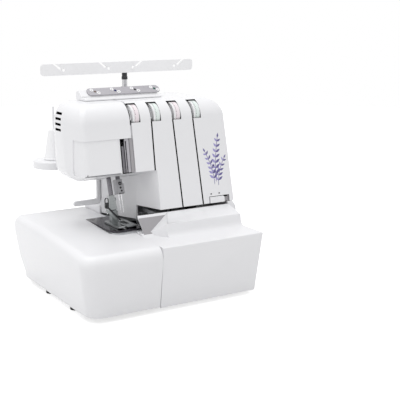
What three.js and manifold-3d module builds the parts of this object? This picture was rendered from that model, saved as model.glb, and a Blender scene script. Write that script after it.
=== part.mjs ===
// Overlock sewing machine: white casing, four thread paths, extension table, folding looper cover.
// Millimetres. X runs left to right, Y front to back, Z up. The layout is drawn from the foot of the
// front face; the group at the end is moved so that its origin is the centre of its footprint.
import * as THREE from 'three';
import { mergeVertices } from 'three/addons/utils/BufferGeometryUtils.js';
import Module from 'manifold-3d';

const wasm = await Module();
wasm.setup();

// ---------------------------------------------------------------------------------------------
// Driving dimensions
// ---------------------------------------------------------------------------------------------
const seat = 0.3; // gap between pieces that rest on each other
const running = 0.5; // gap between pieces that move past each other
const wall = 2.6; // moulded shells of the base
const casingWall = 3.4; // moulded shells of the body and the head
const throughCut = 5; // how far a cutting tool runs past the face that it opens

const footHeight = 6;
const footRadius = 8;
const trayFloor = 2.5;
const trayRim = 14;
const trayFront = 14;
const lugRadius = 4.5;
const hingePinRadius = 2;
const hingePinY = 8;

const seamX = 1; // joint between the extension table and the looper cover
const tableReach = 121; // extension table, left of the seam
const tableDepth = 268;
const frontLip = -10; // front top edge, forward of the foot of the front face
const tableDraft = 12; // how far the table's end wall leans in towards the bottom
const coverDraft = 8;
const bedHeight = 108; // sewing surface
const apronDrop = 10; // the front top edge of the table and of the looper cover lies this far below it
const tableCrease = 155; // where the table top starts to slope down to the front
const tableEdgeRadius = 14;
const tableCornerRadius = 22;
const tableRearRadius = 8;

const plateLength = 49; // needle plate, left to right
const plateDepth = 103;
const plateFront = 66;
const plateThickness = 2.5;
const plateCornerRadius = 14;

const coverLength = 169; // looper cover, right of the seam
const coverWallY = 42; // its upper wall
const coverStep = 19; // height of that wall above the front ledge
const coverTopDepth = 33; // its sloping top, front to back
const coverGap = 6; // dark gap between the cover and the body above it
const coverFillet = 10;
const coverShoulder = 9; // the ledge runs this much further right than the wall above it
const chuteWidth = 35; // scoop for the trimmings at the cover's left end

const bodyRise = 25; // underside of the body above the bed
const bodyFront = 77; // front face of the body at its underside
const bodyLean = 0.159; // how far the front face leans back, per unit of height
const bodyDepth = 118;
const rearDepth = 23;
const bodyOverhang = 7; // the body stands out this far past the right end of the looper cover
const bodySideLean = 0.03;
const baseRearDepth = 60; // the base behind the body's split line
const throatHeight = 82; // clear height below the head
const headHeight = 101;
const topRadius = 30;
const headLeft = -81;
const headLeftRounding = 0.6; // the head's left top edge is rounded less than the front one
const bellyDepth = 14; // the head's underside slopes down to this depth
const bellyY = 130;
const headCornerX = -70;
const headLowerRound = 24;
const ventY = 147; // cooling vents in the head's left side
const ventLength = 20;
const ventHeight = 3.4;
const ventPitch = 8;
const creaseHeight = 50; // crease across the head's face above the head's underside
const creaseStep = 1.4;
const recessWidth = 19; // opening for the take-up lever
const recessHeight = 50;
const throatWallX = 46; // front corner of the wall beside the needles
const throatEdgeX = 31;
const throatEdgeY = 127;
const throatBackX = 4;

const dialPitch = 35;
const dialCount = 4;
const firstDialX = 13.2;
const dialWidth = 10.8;
const dialRadius = 19;
const dialProtrusion = 0.6;
const dialSlotLeft = 4.2;
const windowFrom = 2; // the dial windows open between these two angles of the rounded top edge
const windowTo = 68;
const discRadius = 15;
const discThickness = 0.9;
const axleRadius = 4;
const grooveWidth = 3;
const grooveDepth = 2.2;
const tongueInset = casingWall + seat; // lip of the body that runs under the head's edge
const tongueWall = 2;
const grooveFan = 3.2; // each further groove runs this much further right at its foot

const barTilt = 16; // lean of the needle bar and presser bar, degrees
const needleX = 0;
const needleY = 112; // needle tip, needle up
const needleLift = 15; // height of the needle tip above the bed
const barRadius = 3.5;
const barLength = 145; // needle tip to top of the bar
const presserX = -15;
const needleLength = 34;
const needleRadius = 0.8;
const needleSpacing = 4.4;
const clampWidth = 12;
const clampHeight = 23;
const leverPlate = 3;

const shaftY = 156;
const shaftZ = 92;
const shaftRadius = 6;
const handwheelRadius = 38;
const handwheelWidth = 30;
const pulleyX = 124;
const pulleyWidth = 9;
const mainPulleyRadius = 26;
const motorPulleyRadius = 9;
const beltThickness = 1.6;
const motorRadius = 26;
const motorLength = 76;
const motorY = 224;
const frameFoot = 6; // thickness of the frame's foot plate
const frameWall = 8;
const frameLeftX = 14;
const frameRightX = 138;
const frameFrontY = 120;

const standCentre = 59; // middle of the row of spools
const spoolPitch = 70;
const spoolCount = 4;
const standRow = 258;
const standHalfDepth = 32;
const standOverhang = 34;
const standHeight = 190;
const standThickness = 12;
const coneHeight = 48;
const coneRadius = 17;
const coneTopRadius = 9;
const pinRadius = 2;
const pinHeight = 85;
const bracketThickness = 3;
const bracketWidth = 100;

const mastX = 67;
const mastY = 229;
const outerTubeRadius = 5.5;
const middleTubeRadius = 4.2;
const innerRodRadius = 2.9;
const mastTop = 302;
const middleShow = 16; // the middle tube shows this much above the outer tube
const innerShow = 7;
const mastTravel = 90; // of each of the two stages
const tubeEngagement = 16; // length that stays inside the outer tube when the mast is up
const guideBarLength = 271;
const guideBarCentre = standCentre - 1.5;
const guideBarHeight = 18;
const guideBarThickness = 1.8;

const guidePlateLength = 124;
const guidePlateDepth = 15;
const guidePlateY = 170;
const guidePlateCentre = 35;
const guidePlateRise = 6;
const guidePlateTilt = 40; // degrees

const feedTravel = 3;
const feedRows = [[-16, -13.4], [-11.6, -9]]; // left and right edges of the two rows of teeth
const frontFeed = [84, 100];
const rearFeed = [112, 134];
const mainFeedTail = 10; // the main feed dog's carrier runs this far behind its teeth

const looperWallY = 127; // wall that carries the loopers
const looperWidth = 5;
const lowerLooperX = -2;
const lowerLooperZ = 50;
const lowerLooperY = 118;
const upperLooperX = 34;
const upperLooperZ = 56;
const upperLooperY = 108;
const looperShaftRadius = 4;
const looperShaftEnd = looperWallY + 15;
const knifeX = 16.5;
const knifeY = 98;
const knifeZ = 119;
const knifeThickness = 1.6;
const knifeKnobRadius = 6;

const sideDialRadius = 14;
const sideDialWidth = 11;
const sideDialY = 99;
const stitchDialZ = bedHeight + 4;
const feedDialZ = bedHeight - 32;
const panelY = 88;
const panelLength = 66;
const panelZ = 20;
const panelHeight = 28;
const rockerLength = 14;
const rockerHeight = 19;

// Levels and lines that follow from them
const apronHeight = bedHeight - apronDrop;
const trayBottom = footHeight + seat;
const trayTop = trayBottom + trayFloor;
const hingePinZ = trayBottom + lugRadius + 1.2;
const tableLeft = seamX - tableReach;
const tableRear = frontLip + tableDepth;
const coverLeft = seamX + seat + 0.1;
const coverRight = seamX + coverLength;
const bodyRight = coverRight + bodyOverhang;
const coverBack = coverWallY + coverTopDepth;
const bodyBottom = bedHeight + bodyRise;
const headBottom = bedHeight + throatHeight;
const bodyTop = headBottom + headHeight;
const coverTop = bodyBottom - coverGap;
const bodySplit = bodyFront + bodyDepth;
const bodyRear = bodySplit + rearDepth;
const baseRear = bodySplit + baseRearDepth;
const headRight = firstDialX - dialSlotLeft - 2;
const bodyLeft = headRight + grooveWidth;
const plateLeft = seamX + 12 - plateLength;
const edgeZ = bodyTop - topRadius; // centre of the rounded top edge
const edgeY = faceY(edgeZ) + topRadius;
const windowMiddle = THREE.MathUtils.degToRad((windowFrom + windowTo) / 2);
const dialOffset = topRadius + dialProtrusion - dialRadius;
const dialY = edgeY - dialOffset * Math.cos(windowMiddle);
const dialZ = edgeZ + dialOffset * Math.sin(windowMiddle);
const bellyZ = headBottom - bellyDepth;
const needleZ = bedHeight + needleLift;
const frameFootTop = trayTop + 6 + frameFoot;
const motorZ = frameFootTop + seat + motorRadius;
const sideX = bodyRight; // outer face of the side cover

// Front face and right side of the body at a height
function faceY(z) {
  return bodyFront + (z - bodyBottom) * bodyLean;
}
function rightX(z) {
  return bodyRight - Math.max(z - bodyBottom, 0) * bodySideLean;
}

// ---------------------------------------------------------------------------------------------
// Shape helpers: each returns a closed solid that can be joined and cut
// ---------------------------------------------------------------------------------------------
function solidFrom(geometry) {
  const bare = geometry.clone();
  bare.deleteAttribute('normal');
  bare.deleteAttribute('uv');
  const merged = mergeVertices(bare, 1e-4);
  return new wasm.Manifold(
    new wasm.Mesh({
      numProp: 3,
      vertProperties: new Float32Array(merged.attributes.position.array),
      triVerts: new Uint32Array(merged.index.array),
    }),
  );
}

function geometryFrom(solid) {
  const mesh = solid.getMesh();
  const geometry = new THREE.BufferGeometry();
  geometry.setAttribute('position', new THREE.BufferAttribute(new Float32Array(mesh.vertProperties), 3));
  geometry.setIndex(new THREE.BufferAttribute(new Uint32Array(mesh.triVerts), 1));
  geometry.computeVertexNormals();
  return geometry;
}

function box(x0, x1, y0, y1, z0, z1) {
  const geometry = new THREE.BoxGeometry(x1 - x0, y1 - y0, z1 - z0);
  geometry.translate((x0 + x1) / 2, (y0 + y1) / 2, (z0 + z1) / 2);
  return solidFrom(geometry);
}

function prism(outline, depth, uAxis, vAxis, wAxis, origin) {
  const shape = new THREE.Shape(outline.map(([u, v]) => new THREE.Vector2(u, v)));
  const geometry = new THREE.ExtrudeGeometry(shape, { depth, bevelEnabled: false });
  const frame = new THREE.Matrix4().makeBasis(uAxis, vAxis, wAxis);
  geometry.applyMatrix4(frame.setPosition(origin));
  return solidFrom(geometry);
}

const X = new THREE.Vector3(1, 0, 0);
const Y = new THREE.Vector3(0, 1, 0);
const Z = new THREE.Vector3(0, 0, 1);

// Outlines are lists of points: (y, z) along X, (x, z) along Y and (x, y) along Z
function alongX(outline, x0, x1) {
  return prism(outline, x1 - x0, Y, Z, X, new THREE.Vector3(x0, 0, 0));
}
function alongY(outline, y0, y1) {
  return prism(outline, y1 - y0, X, Z, Y.clone().negate(), new THREE.Vector3(0, y1, 0));
}
function alongZ(outline, z0, z1) {
  return prism(outline, z1 - z0, X, Y, Z, new THREE.Vector3(0, 0, z0));
}

// Rounds the corners of an outline; a corner is [u, v] or [u, v, radius]
function rounded(corners, steps = 4) {
  const outline = [];
  corners.forEach(([u, v, radius = 0], index) => {
    const corner = new THREE.Vector2(u, v);
    if (radius === 0) {
      outline.push([u, v]);
      return;
    }
    const [beforeU, beforeV] = corners[(index + corners.length - 1) % corners.length];
    const [afterU, afterV] = corners[(index + 1) % corners.length];
    const toBefore = new THREE.Vector2(beforeU, beforeV).sub(corner).normalize();
    const toAfter = new THREE.Vector2(afterU, afterV).sub(corner).normalize();
    const halfAngle = Math.acos(THREE.MathUtils.clamp(toBefore.dot(toAfter), -1, 1)) / 2;
    const bisector = toBefore.clone().add(toAfter).normalize();
    const centre = bisector.multiplyScalar(radius / Math.sin(halfAngle)).add(corner);
    const reach = radius / Math.tan(halfAngle);
    const start = corner.clone().addScaledVector(toBefore, reach).sub(centre);
    const end = corner.clone().addScaledVector(toAfter, reach).sub(centre);
    const turn = Math.atan2(start.cross(end), start.dot(end));
    for (let step = 0; step <= steps; step += 1) {
      const spoke = start.clone().rotateAround(new THREE.Vector2(), (turn * step) / steps);
      outline.push([centre.x + spoke.x, centre.y + spoke.y]);
    }
  });
  return outline;
}

function circle(u, v, radius, sides = 20) {
  return Array.from({ length: sides }, (_, index) => {
    const angle = (2 * Math.PI * index) / sides;
    return [u + radius * Math.cos(angle), v + radius * Math.sin(angle)];
  });
}

function rodX(y, z, radius, x0, x1, sides = 20) {
  return alongX(circle(y, z, radius, sides), x0, x1);
}
function rodY(x, z, radius, y0, y1, sides = 20) {
  return alongY(circle(x, z, radius, sides), y0, y1);
}
function rodZ(x, y, radius, z0, z1, sides = 20) {
  return alongZ(circle(x, y, radius, sides), z0, z1);
}

// Solid through level outlines of equal point count, from the lowest to the highest
function loft(levels) {
  const count = levels[0].outline.length;
  const positions = [];
  levels.forEach(({ z, outline }) => outline.forEach(([x, y]) => positions.push(x, y, z)));
  const triangles = [];
  for (let level = 0; level < levels.length - 1; level += 1) {
    for (let point = 0; point < count; point += 1) {
      const a = level * count + point;
      const b = level * count + ((point + 1) % count);
      triangles.push(a, b, b + count, a, b + count, a + count);
    }
  }
  const capOf = (level) => THREE.ShapeUtils.triangulateShape(
    levels[level].outline.map(([x, y]) => new THREE.Vector2(x, y)),
    [],
  );
  capOf(0).forEach(([a, b, c]) => triangles.push(a, c, b));
  const top = (levels.length - 1) * count;
  capOf(levels.length - 1).forEach(([a, b, c]) => triangles.push(a + top, b + top, c + top));
  return new wasm.Manifold(
    new wasm.Mesh({
      numProp: 3,
      vertProperties: new Float32Array(positions),
      triVerts: new Uint32Array(triangles),
    }),
  );
}

function joined(...solids) {
  return solids.reduce((whole, solid) => whole.add(solid));
}
function cut(solid, ...tools) {
  return tools.reduce((rest, tool) => rest.subtract(tool), solid);
}

// ---------------------------------------------------------------------------------------------
// Materials and assembly
// ---------------------------------------------------------------------------------------------
const looks = {
  casing: { color: 0xe9e9ec, roughness: 0.35, metalness: 0 },
  trim: { color: 0xdcdce0, roughness: 0.45, metalness: 0 },
  darkPlastic: { color: 0x2a2a2e, roughness: 0.5, metalness: 0 },
  rubber: { color: 0x1c1c1e, roughness: 0.9, metalness: 0 },
  castAluminium: { color: 0x9fa2a6, roughness: 0.6, metalness: 0.8 },
  steel: { color: 0x8f9196, roughness: 0.3, metalness: 1 },
  chrome: { color: 0xd4d6da, roughness: 0.1, metalness: 1 },
  darkSteel: { color: 0x4a4850, roughness: 0.25, metalness: 0.9 },
  pinkDial: { color: 0xf0dfe6, roughness: 0.4, metalness: 0 },
  greenDial: { color: 0xdfeee8, roughness: 0.4, metalness: 0 },
  brass: { color: 0xb59a55, roughness: 0.4, metalness: 1 },
};

const machine = new THREE.Group();

function part(name, look, solid, parent = machine) {
  const material = new THREE.MeshStandardMaterial(looks[look]);
  const mesh = new THREE.Mesh(geometryFrom(solid), material);
  mesh.name = name;
  parent.add(mesh);
  return mesh;
}

// ---------------------------------------------------------------------------------------------
// Base: feet, tray and inner frame
// ---------------------------------------------------------------------------------------------
const trayLeft = tableLeft + tableDraft + wall + 2 * running;
const trayRight = bodyRight - wall - running;
const trayRear = baseRear - wall - running;
const tongueFront = 44; // the tray reaches left under the table between these two lines
const tongueRear = 190;
const feet = [
  [trayLeft + footRadius + 1, tongueFront + 36],
  [trayLeft + footRadius + 1, tongueRear - 20],
  [trayRight - 18, trayFront + 18],
  [trayRight - 18, trayRear - 14],
];
const lugX = [28, 128]; // left ends of the two hinge lugs
const lugLength = 6;

function buildBase() {
  feet.forEach(([x, y], index) => {
    part(`rubber_foot_${index + 1}`, 'rubber', rodZ(x, y, footRadius, 0, footHeight, 16));
  });

  const outline = [
    [seamX + wall, trayFront],
    [trayRight, trayFront],
    [trayRight, trayRear],
    [seamX + wall + running, trayRear],
    [seamX + wall + running, tongueRear],
    [trayLeft, tongueRear, 6],
    [trayLeft, tongueFront, 6],
    [seamX + wall, tongueFront],
  ];
  const floor = alongZ(rounded(outline), trayBottom, trayTop);
  const rimLength = trayRight - seamX - 2 * wall;
  const frontRim = box(
    seamX + wall, seamX + wall + rimLength, trayFront, trayFront + wall, trayTop - 1, trayRim,
  );
  const leftRim = box(trayLeft, trayLeft + wall, tongueFront + 8, tongueRear - 8, trayTop - 1, trayRim);
  const lugs = lugX.map((x) => joined(
    rodX(hingePinY, hingePinZ, lugRadius, x, x + lugLength, 16),
    box(x, x + lugLength, hingePinY, trayFront + wall, hingePinZ - 3, hingePinZ + lugRadius),
  ));
  const pads = [frameLeftX + 10, frameRightX - 6].flatMap((x) => [frameFrontY + 12, 176].map(
    (y) => rodZ(x, y, 5, trayTop - 1, trayTop + 6 - seat, 12),
  ));
  const tray = joined(floor, frontRim, leftRim, ...lugs, ...pads);
  const pinBore = rodX(hingePinY, hingePinZ, hingePinRadius + seat, 0, bodyRight, 12);
  part('base_tray', 'casing', cut(tray, pinBore));
}

// Centre line of the needle bar at a height
function barY(z) {
  return needleY + (z - needleZ) * Math.tan(THREE.MathUtils.degToRad(barTilt));
}

// How far along the needle bar, from the needle tip, a height lies
function alongBar(z) {
  return (z - needleZ) / Math.cos(THREE.MathUtils.degToRad(barTilt));
}

// A straight bore along the needle bar's direction
function barBore(x, radius) {
  const bore = solidFrom(new THREE.CylinderGeometry(radius, radius, 400, 16).rotateX(Math.PI / 2));
  return bore.rotate([-barTilt, 0, 0]).translate([x, needleY, needleZ]);
}

const looperWallTop = upperLooperZ + 14;
const armZ = headBottom + 42; // underside of the frame's upper arm
const armThickness = 8;
const armFront = 152;
const armTop = armZ + armThickness;
const guideBottom = armTop + 4; // underside of the bars' upper guide
const leverGap = 4; // between the take-up lever's collar and that guide, along the bar
const axleSupport = 2.8;
const axleLeft = firstDialX - running - 2 * discThickness - 0.5 - 0.6 - axleSupport;
const axleRight = firstDialX + (dialCount - 1) * dialPitch + dialWidth + 6;

function buildFrame() {
  const footBottom = trayTop + 6;
  const wallRear = bodySplit - 2 - running;
  const frameRight = frameRightX + frameWall;
  const foot = box(frameLeftX, frameRight, frameFrontY, motorY + 14, footBottom, frameFootTop);
  const leftWall = box(
    frameLeftX, frameLeftX + frameWall, frameFrontY + 14, wallRear, footBottom, bedHeight - 3,
  );
  const rightWall = box(frameRightX, frameRight, frameFrontY + 4, wallRear, footBottom, armTop);
  const spine = box(frameLeftX, frameRight, wallRear - 6, wallRear, footBottom, armTop);
  const arm = box(headLeft + 24, frameRight, armFront, wallRear - 6, armZ, armTop);
  const looperWallLeft = lowerLooperX - 12;
  const looperWallRear = looperWallY + 6;
  const looperWall = box(
    looperWallLeft, upperLooperX + 14, looperWallY, looperWallRear, footBottom, looperWallTop,
  );
  const looperFoot = box(
    looperWallLeft, frameLeftX + 2, looperWallY, looperWallY + 33, footBottom, frameFootTop,
  );
  const bedTop = bedHeight - plateThickness - seat;
  const bedRight = plateLeft + plateLength - 1;
  const bed = joined(
    alongZ(rounded([
      [plateLeft + 2, plateFront + 4, 12],
      [bedRight, plateFront + 4],
      [bedRight, wallRear],
      [plateLeft + 2, wallRear],
    ]), bedTop - 8, bedTop),
    box(bedRight - 1, frameLeftX + 1, frameFrontY + 14, wallRear, bedTop - 8, bedTop),
  );
  const bedOpening = box(
    presserX - 8, 10, frontFeed[0] - feedTravel - 2, rearFeed[1] + mainFeedTail + feedTravel + 2,
    bedTop - 8 - throughCut, bedTop + throughCut,
  );
  const guideLeft = presserX - 9;
  const guideRight = needleX + 8;
  const guideRear = armFront + 14;
  const webFront = armFront + 6;
  const lowerGuide = box(
    guideLeft, guideRight, barY(headBottom) - 9, webFront + 2, headBottom + 5, headBottom + 14,
  );
  const upperGuide = box(guideLeft, guideRight, barY(armZ) - 9, guideRear, guideBottom, guideBottom + 12);
  const guideWeb = box(guideLeft, guideRight, webFront, guideRear, headBottom + 5, guideBottom + 12);
  const axleSupports = [
    box(axleLeft, axleLeft + axleSupport, dialY - 8, armFront + 4, armZ + 3, dialZ + 8),
    box(axleRight - axleSupport, axleRight, dialY - 8, armFront + 4, armZ + 3, dialZ + 8),
  ];
  const knifePost = box(knifeX + 28, knifeX + 36, knifeY - 7, frameFrontY + 12, knifeZ - 7, knifeZ + 5);
  const knifeLeg = box(knifeX + 28, knifeX + 36, frameFrontY + 4, frameFrontY + 12, footBottom, knifeZ + 5);
  const solid = joined(
    foot, leftWall, rightWall, spine, arm, looperWall, looperFoot, bed, lowerGuide, upperGuide, guideWeb,
    ...axleSupports, knifePost, knifeLeg,
  );
  const beltWindow = box(
    pulleyX - 4, pulleyX + pulleyWidth + 4, wallRear - 6 - throughCut, wallRear + throughCut,
    frameFootTop, shaftZ + 34,
  );
  const shaftBore = rodX(shaftY, shaftZ, shaftRadius + seat, 0, bodyRight);
  const axleBore = rodX(dialY, dialZ, axleRadius + seat, axleLeft - 1, axleRight + 1, 16);
  const looperBores = [
    rodY(lowerLooperX, lowerLooperZ, looperShaftRadius + seat, 120, 140, 16),
    rodY(upperLooperX, upperLooperZ, looperShaftRadius + seat, 120, 140, 16),
  ];
  const knifeBore = rodX(knifeY, knifeZ, 3 + seat, knifeX + 20, knifeX + 44, 12);
  const barClearance = barRadius + seat;
  part('frame_casting', 'castAluminium', cut(
    solid, bedOpening, beltWindow, shaftBore, axleBore, ...looperBores, knifeBore,
    barBore(needleX, barClearance), barBore(presserX, barClearance),
  ));
}

// ---------------------------------------------------------------------------------------------
// Casing: body, head, rear cover and side cover
// ---------------------------------------------------------------------------------------------
const domeSteps = 6;

// Levels from one height to the top, rounding over at the top edge; inset shrinks the whole form and
// outlineAt is given a height and how far the rounding has drawn in there
function domed(from, inset, outlineAt) {
  const top = bodyTop - inset;
  const radius = topRadius - inset;
  const levels = [{ z: from, outline: outlineAt(from, 0) }];
  for (let step = 0; step <= domeSteps; step += 1) {
    const angle = (Math.PI / 2) * (step / domeSteps);
    const z = top - radius + radius * Math.sin(angle);
    levels.push({ z, outline: outlineAt(z, radius * (1 - Math.cos(angle))) });
  }
  return levels;
}

// The body above the head's underside, open towards the head
function upperBody(inset, left) {
  return loft(domed(headBottom - 0.01, inset, (z, drawn) => {
    const line = Math.min(z, edgeZ);
    const offset = inset + drawn;
    return rounded([
      [left, faceY(line) + offset],
      [rightX(line) - offset, faceY(line) + offset, 7],
      [rightX(line) - offset, bodySplit],
      [left, bodySplit],
    ]);
  }));
}

// The body below it, with the slanting wall beside the needles
function lowerBody(inset) {
  const outlineAt = (z) => rounded([
    [throatWallX + inset, faceY(z) + inset],
    [rightX(z) - inset, faceY(z) + inset, 7],
    [rightX(z) - inset, bodySplit],
    [throatBackX + inset, bodySplit],
    [throatEdgeX + inset * 1.1, throatEdgeY + inset * 0.3],
  ]);
  const top = headBottom + casingWall;
  return loft([{ z: bodyBottom, outline: outlineAt(bodyBottom) }, { z: top, outline: outlineAt(top) }]);
}

// A slab across the front and top, leaning right towards its foot
function grooveSlab(topX, footX, z0) {
  return alongY([
    [footX, z0 - 1],
    [footX + grooveWidth, z0 - 1],
    [topX + grooveWidth, bodyTop + 1],
    [topX, bodyTop + 1],
  ], faceY(z0) - throughCut, edgeY - topRadius * Math.cos(THREE.MathUtils.degToRad(windowTo)));
}

function dialX(index) {
  return firstDialX + index * dialPitch;
}

// Opening for a dial: a wedge of the rounded top edge, with room for the wheel behind it
function dialWindow(x) {
  const ray = (radius, degrees) => {
    const angle = THREE.MathUtils.degToRad(degrees);
    return [edgeY - radius * Math.cos(angle), edgeZ + radius * Math.sin(angle)];
  };
  const middle = (windowFrom + windowTo) / 2;
  const inner = topRadius - 12;
  const outer = topRadius + 20;
  const wedge = [
    ray(inner, windowTo),
    ray(outer, windowTo),
    ray(outer + 10, middle),
    ray(outer, windowFrom),
    ray(inner, windowFrom),
  ];
  const right = x + dialWidth + running;
  return joined(
    alongX(wedge, x - dialSlotLeft, right),
    rodX(dialY, dialZ, dialRadius + running, x - dialSlotLeft, right, 32),
  );
}

const slotLength = 37.5; // slot of the slider low on the front face
const slotRight = bodyRight - 3.5;
const slotLeft = slotRight - slotLength;
const slotZ = bodyBottom + 2;
const slotHeight = 7.5;

function buildBody() {
  const tongueLeft = bodyLeft - 6;
  const tongueRelief = box(tongueLeft - 1, bodyLeft, bodySplit - topRadius, bodySplit + 1, 0, bodyTop);
  const outer = joined(
    upperBody(0, bodyLeft),
    cut(upperBody(tongueInset, tongueLeft), tongueRelief),
    lowerBody(0),
    // underside of the first panel, sloping down to the back
    alongX([
      [faceY(headBottom), headBottom + 2],
      [faceY(headBottom), headBottom],
      [bellyY, bellyZ],
      [bellyY, headBottom + 2],
    ], bodyLeft, throatWallX + 4),
    // skirt of the slanting wall, down to the bed
    alongZ([
      [throatBackX, bodySplit],
      [throatEdgeX, throatEdgeY],
      [throatEdgeX + casingWall, throatEdgeY + 1],
      [throatBackX + casingWall, bodySplit],
    ], bedHeight + seat + 0.2, bodyBottom + 1),
  );
  const cavity = joined(
    upperBody(casingWall, bodyLeft + 3),
    upperBody(tongueInset + tongueWall, tongueLeft - throughCut),
    lowerBody(casingWall),
  );
  const rearOpening = box(
    -20, bodyRight - casingWall - 22, bodySplit - 1, bodySplit + throughCut,
    bodyBottom, bodyTop - casingWall - 10,
  );
  const bottomOpening = lowerBody(casingWall).translate([0, 0, -20]);
  const grooves = [1, 2, 3].map((index) => {
    const topX = headRight + index * dialPitch;
    const isPanelEdge = index === 1;
    const foot = isPanelEdge ? headBottom : bodyBottom;
    const footX = isPanelEdge ? topX - 1 : topX + index * grooveFan;
    return cut(grooveSlab(topX, footX, foot), upperBody(grooveDepth, -20), lowerBody(grooveDepth));
  });
  const dialSlots = Array.from({ length: dialCount }, (_, index) => dialWindow(dialX(index)));
  const slot = box(slotLeft, slotRight, bodyFront - throughCut, bodyFront + 8, slotZ, slotZ + slotHeight);
  const shell = cut(outer, cavity, rearOpening, bottomOpening);
  part('front_cover', 'casing', cut(shell, ...grooves, ...dialSlots, slot));
}

function headForm(inset, right) {
  const outlineAt = (z, drawn) => {
    const line = Math.min(z, edgeZ);
    const low = Math.max(bellyZ + inset + headLowerRound - z, 0) / headLowerRound;
    const tuck = headLowerRound * (1 - Math.sqrt(Math.max(1 - low * low, 0)));
    const left = headLeft + inset + drawn * headLeftRounding + tuck;
    const front = faceY(line) + inset + drawn;
    const rear = bodySplit - inset - drawn * headLeftRounding - tuck * 0.6;
    return rounded([
      [Math.max(headCornerX + inset + drawn * headLeftRounding, left + 2), front, 9],
      [right, front],
      [right, rear],
      [left, rear, (rear - front) * 0.3],
      [left, front * 0.55 + rear * 0.45, 20],
    ]);
  };
  const levels = [0, 0.12, 0.3, 0.6, 1].map((share) => {
    const z = bellyZ + inset + share * headLowerRound;
    return { z, outline: outlineAt(z, 0) };
  });
  const form = loft([...levels, ...domed(bellyZ + headLowerRound, inset, outlineAt).slice(1)]);
  const underside = alongX([
    [-throughCut, headBottom + inset],
    [faceY(headBottom), headBottom + inset],
    [bellyY, bellyZ + inset],
    [bellyY, bellyZ - throughCut],
    [-throughCut, bellyZ - throughCut],
  ], headLeft - throughCut, right + throughCut);
  return cut(form, underside);
}

const recessLeft = headRight - recessWidth;

function buildHead() {
  const shell = cut(headForm(0, headRight), headForm(casingWall, headRight + throughCut));
  const recess = box(
    recessLeft, headRight + 1, faceY(headBottom) - throughCut, barY(headBottom) + 14,
    headBottom - 1, headBottom + recessHeight,
  );
  const barOpening = box(
    presserX - 7, headRight + 1, barY(bellyZ) - 14, barY(headBottom) + 12,
    bellyZ - 1, headBottom + casingWall,
  );
  const crease = box(headLeft, recessLeft - 1, 0, throatEdgeY - 10, headBottom - 1, headBottom + creaseHeight)
    .subtract(headForm(creaseStep, headRight));
  const vents = [0, 1, 2, 3].map((index) => {
    const foot = headBottom + 60 + index * ventPitch;
    return box(headLeft - 3, headLeft + 12, ventY, ventY + ventLength, foot, foot + ventHeight);
  });
  const bodyWall = lowerBody(-seat).translate([0, 0, seat]);
  part('head_cover', 'casing', cut(shell, recess, barOpening, crease, bodyWall, ...vents));
}

function rearOutline(inset, z0) {
  const right = rightX(edgeZ);
  return rounded([
    [throatBackX + inset, z0 + inset],
    [bodyRight - inset, z0 + inset],
    [bodyRight - inset, bodyBottom],
    [right - inset, bodyTop - inset, topRadius - inset],
    [throatBackX + inset, bodyTop - inset],
  ]);
}

function buildRearAndSide() {
  const front = bodySplit + seat;
  const skirtTop = bedHeight + 12;
  const upper = alongY(rearOutline(0, trayRim + seat), front, bodyRear);
  const upperCavity = alongY(rearOutline(wall, trayRim + seat), front - 1, bodyRear - wall);
  const skirtLeft = seamX + running;
  const skirt = alongX(rounded([
    [front, trayRim + seat],
    [baseRear, trayRim + seat, 6],
    [baseRear, skirtTop, 16],
    [front, skirtTop],
  ]), skirtLeft, bodyRight);
  const skirtCavity = alongX(rounded([
    [front - 1, -1],
    [baseRear - wall, -1],
    [baseRear - wall, skirtTop - wall, 13],
    [front - 1, skirtTop - wall],
  ]), skirtLeft + wall, bodyRight - wall);
  part('rear_cover', 'casing', cut(joined(upper, skirt), upperCavity, skirtCavity));

  const sideZ = trayRim + seat;
  const side = joined(
    box(sideX - wall, sideX, bodyFront + 4, bodySplit, sideZ, bodyBottom - seat),
    box(coverRight + 2, sideX, bodyFront + 4, bodyFront + 4 + wall, sideZ, bodyBottom - seat),
  );
  const holes = [
    rodX(shaftY, shaftZ, shaftRadius + running, sideX - throughCut, sideX + throughCut),
    rodX(sideDialY, stitchDialZ, 3 + seat, sideX - throughCut, sideX + throughCut, 12),
    rodX(sideDialY, feedDialZ, 3 + seat, sideX - throughCut, sideX + throughCut, 12),
    box(
      sideX - throughCut, sideX + throughCut, panelY - seat, panelY + panelLength + seat,
      panelZ - seat, panelZ + panelHeight + seat,
    ),
  ];
  part('side_cover', 'casing', cut(side, ...holes));
}

// ---------------------------------------------------------------------------------------------
// Sewing bed: extension table, needle plate, feed dogs, chute
// ---------------------------------------------------------------------------------------------
function tableSideProfile(inset) {
  const foot = footHeight + 2;
  const bottom = inset === 0 ? foot : foot - throughCut;
  const leanPerHeight = frontLip / (apronHeight - tableEdgeRadius * 1.4 - foot);
  return rounded([
    [(bottom - foot) * leanPerHeight + inset, bottom],
    [tableRear - 14 - inset, bottom, inset === 0 ? 12 : 0],
    [tableRear - inset, bottom + 34, 20],
    [tableRear - inset, bedHeight - inset, tableEdgeRadius],
    [tableCrease, bedHeight - inset],
    [frontLip + inset, apronHeight - inset * 1.1, tableEdgeRadius - inset],
    [frontLip + inset, apronHeight - tableEdgeRadius * 1.4],
  ]);
}

function tableFrontProfile(inset) {
  const foot = footHeight + 2;
  const bottom = inset === 0 ? foot : foot - throughCut;
  const right = inset === 0 ? seamX : seamX + throughCut;
  return rounded([
    [tableLeft + tableDraft + inset, bottom],
    [right, bottom],
    [right, bedHeight - inset],
    [tableLeft + inset, bedHeight - inset, tableEdgeRadius - inset],
    [tableLeft + inset, apronHeight - tableEdgeRadius],
  ]);
}

function tablePlan(inset) {
  const right = inset === 0 ? seamX : seamX + throughCut;
  return rounded([
    [tableLeft + inset, frontLip + inset, tableCornerRadius],
    [right, frontLip + inset],
    [right, tableRear - inset],
    [tableLeft + inset, tableRear - inset, tableRearRadius],
  ]);
}

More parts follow.
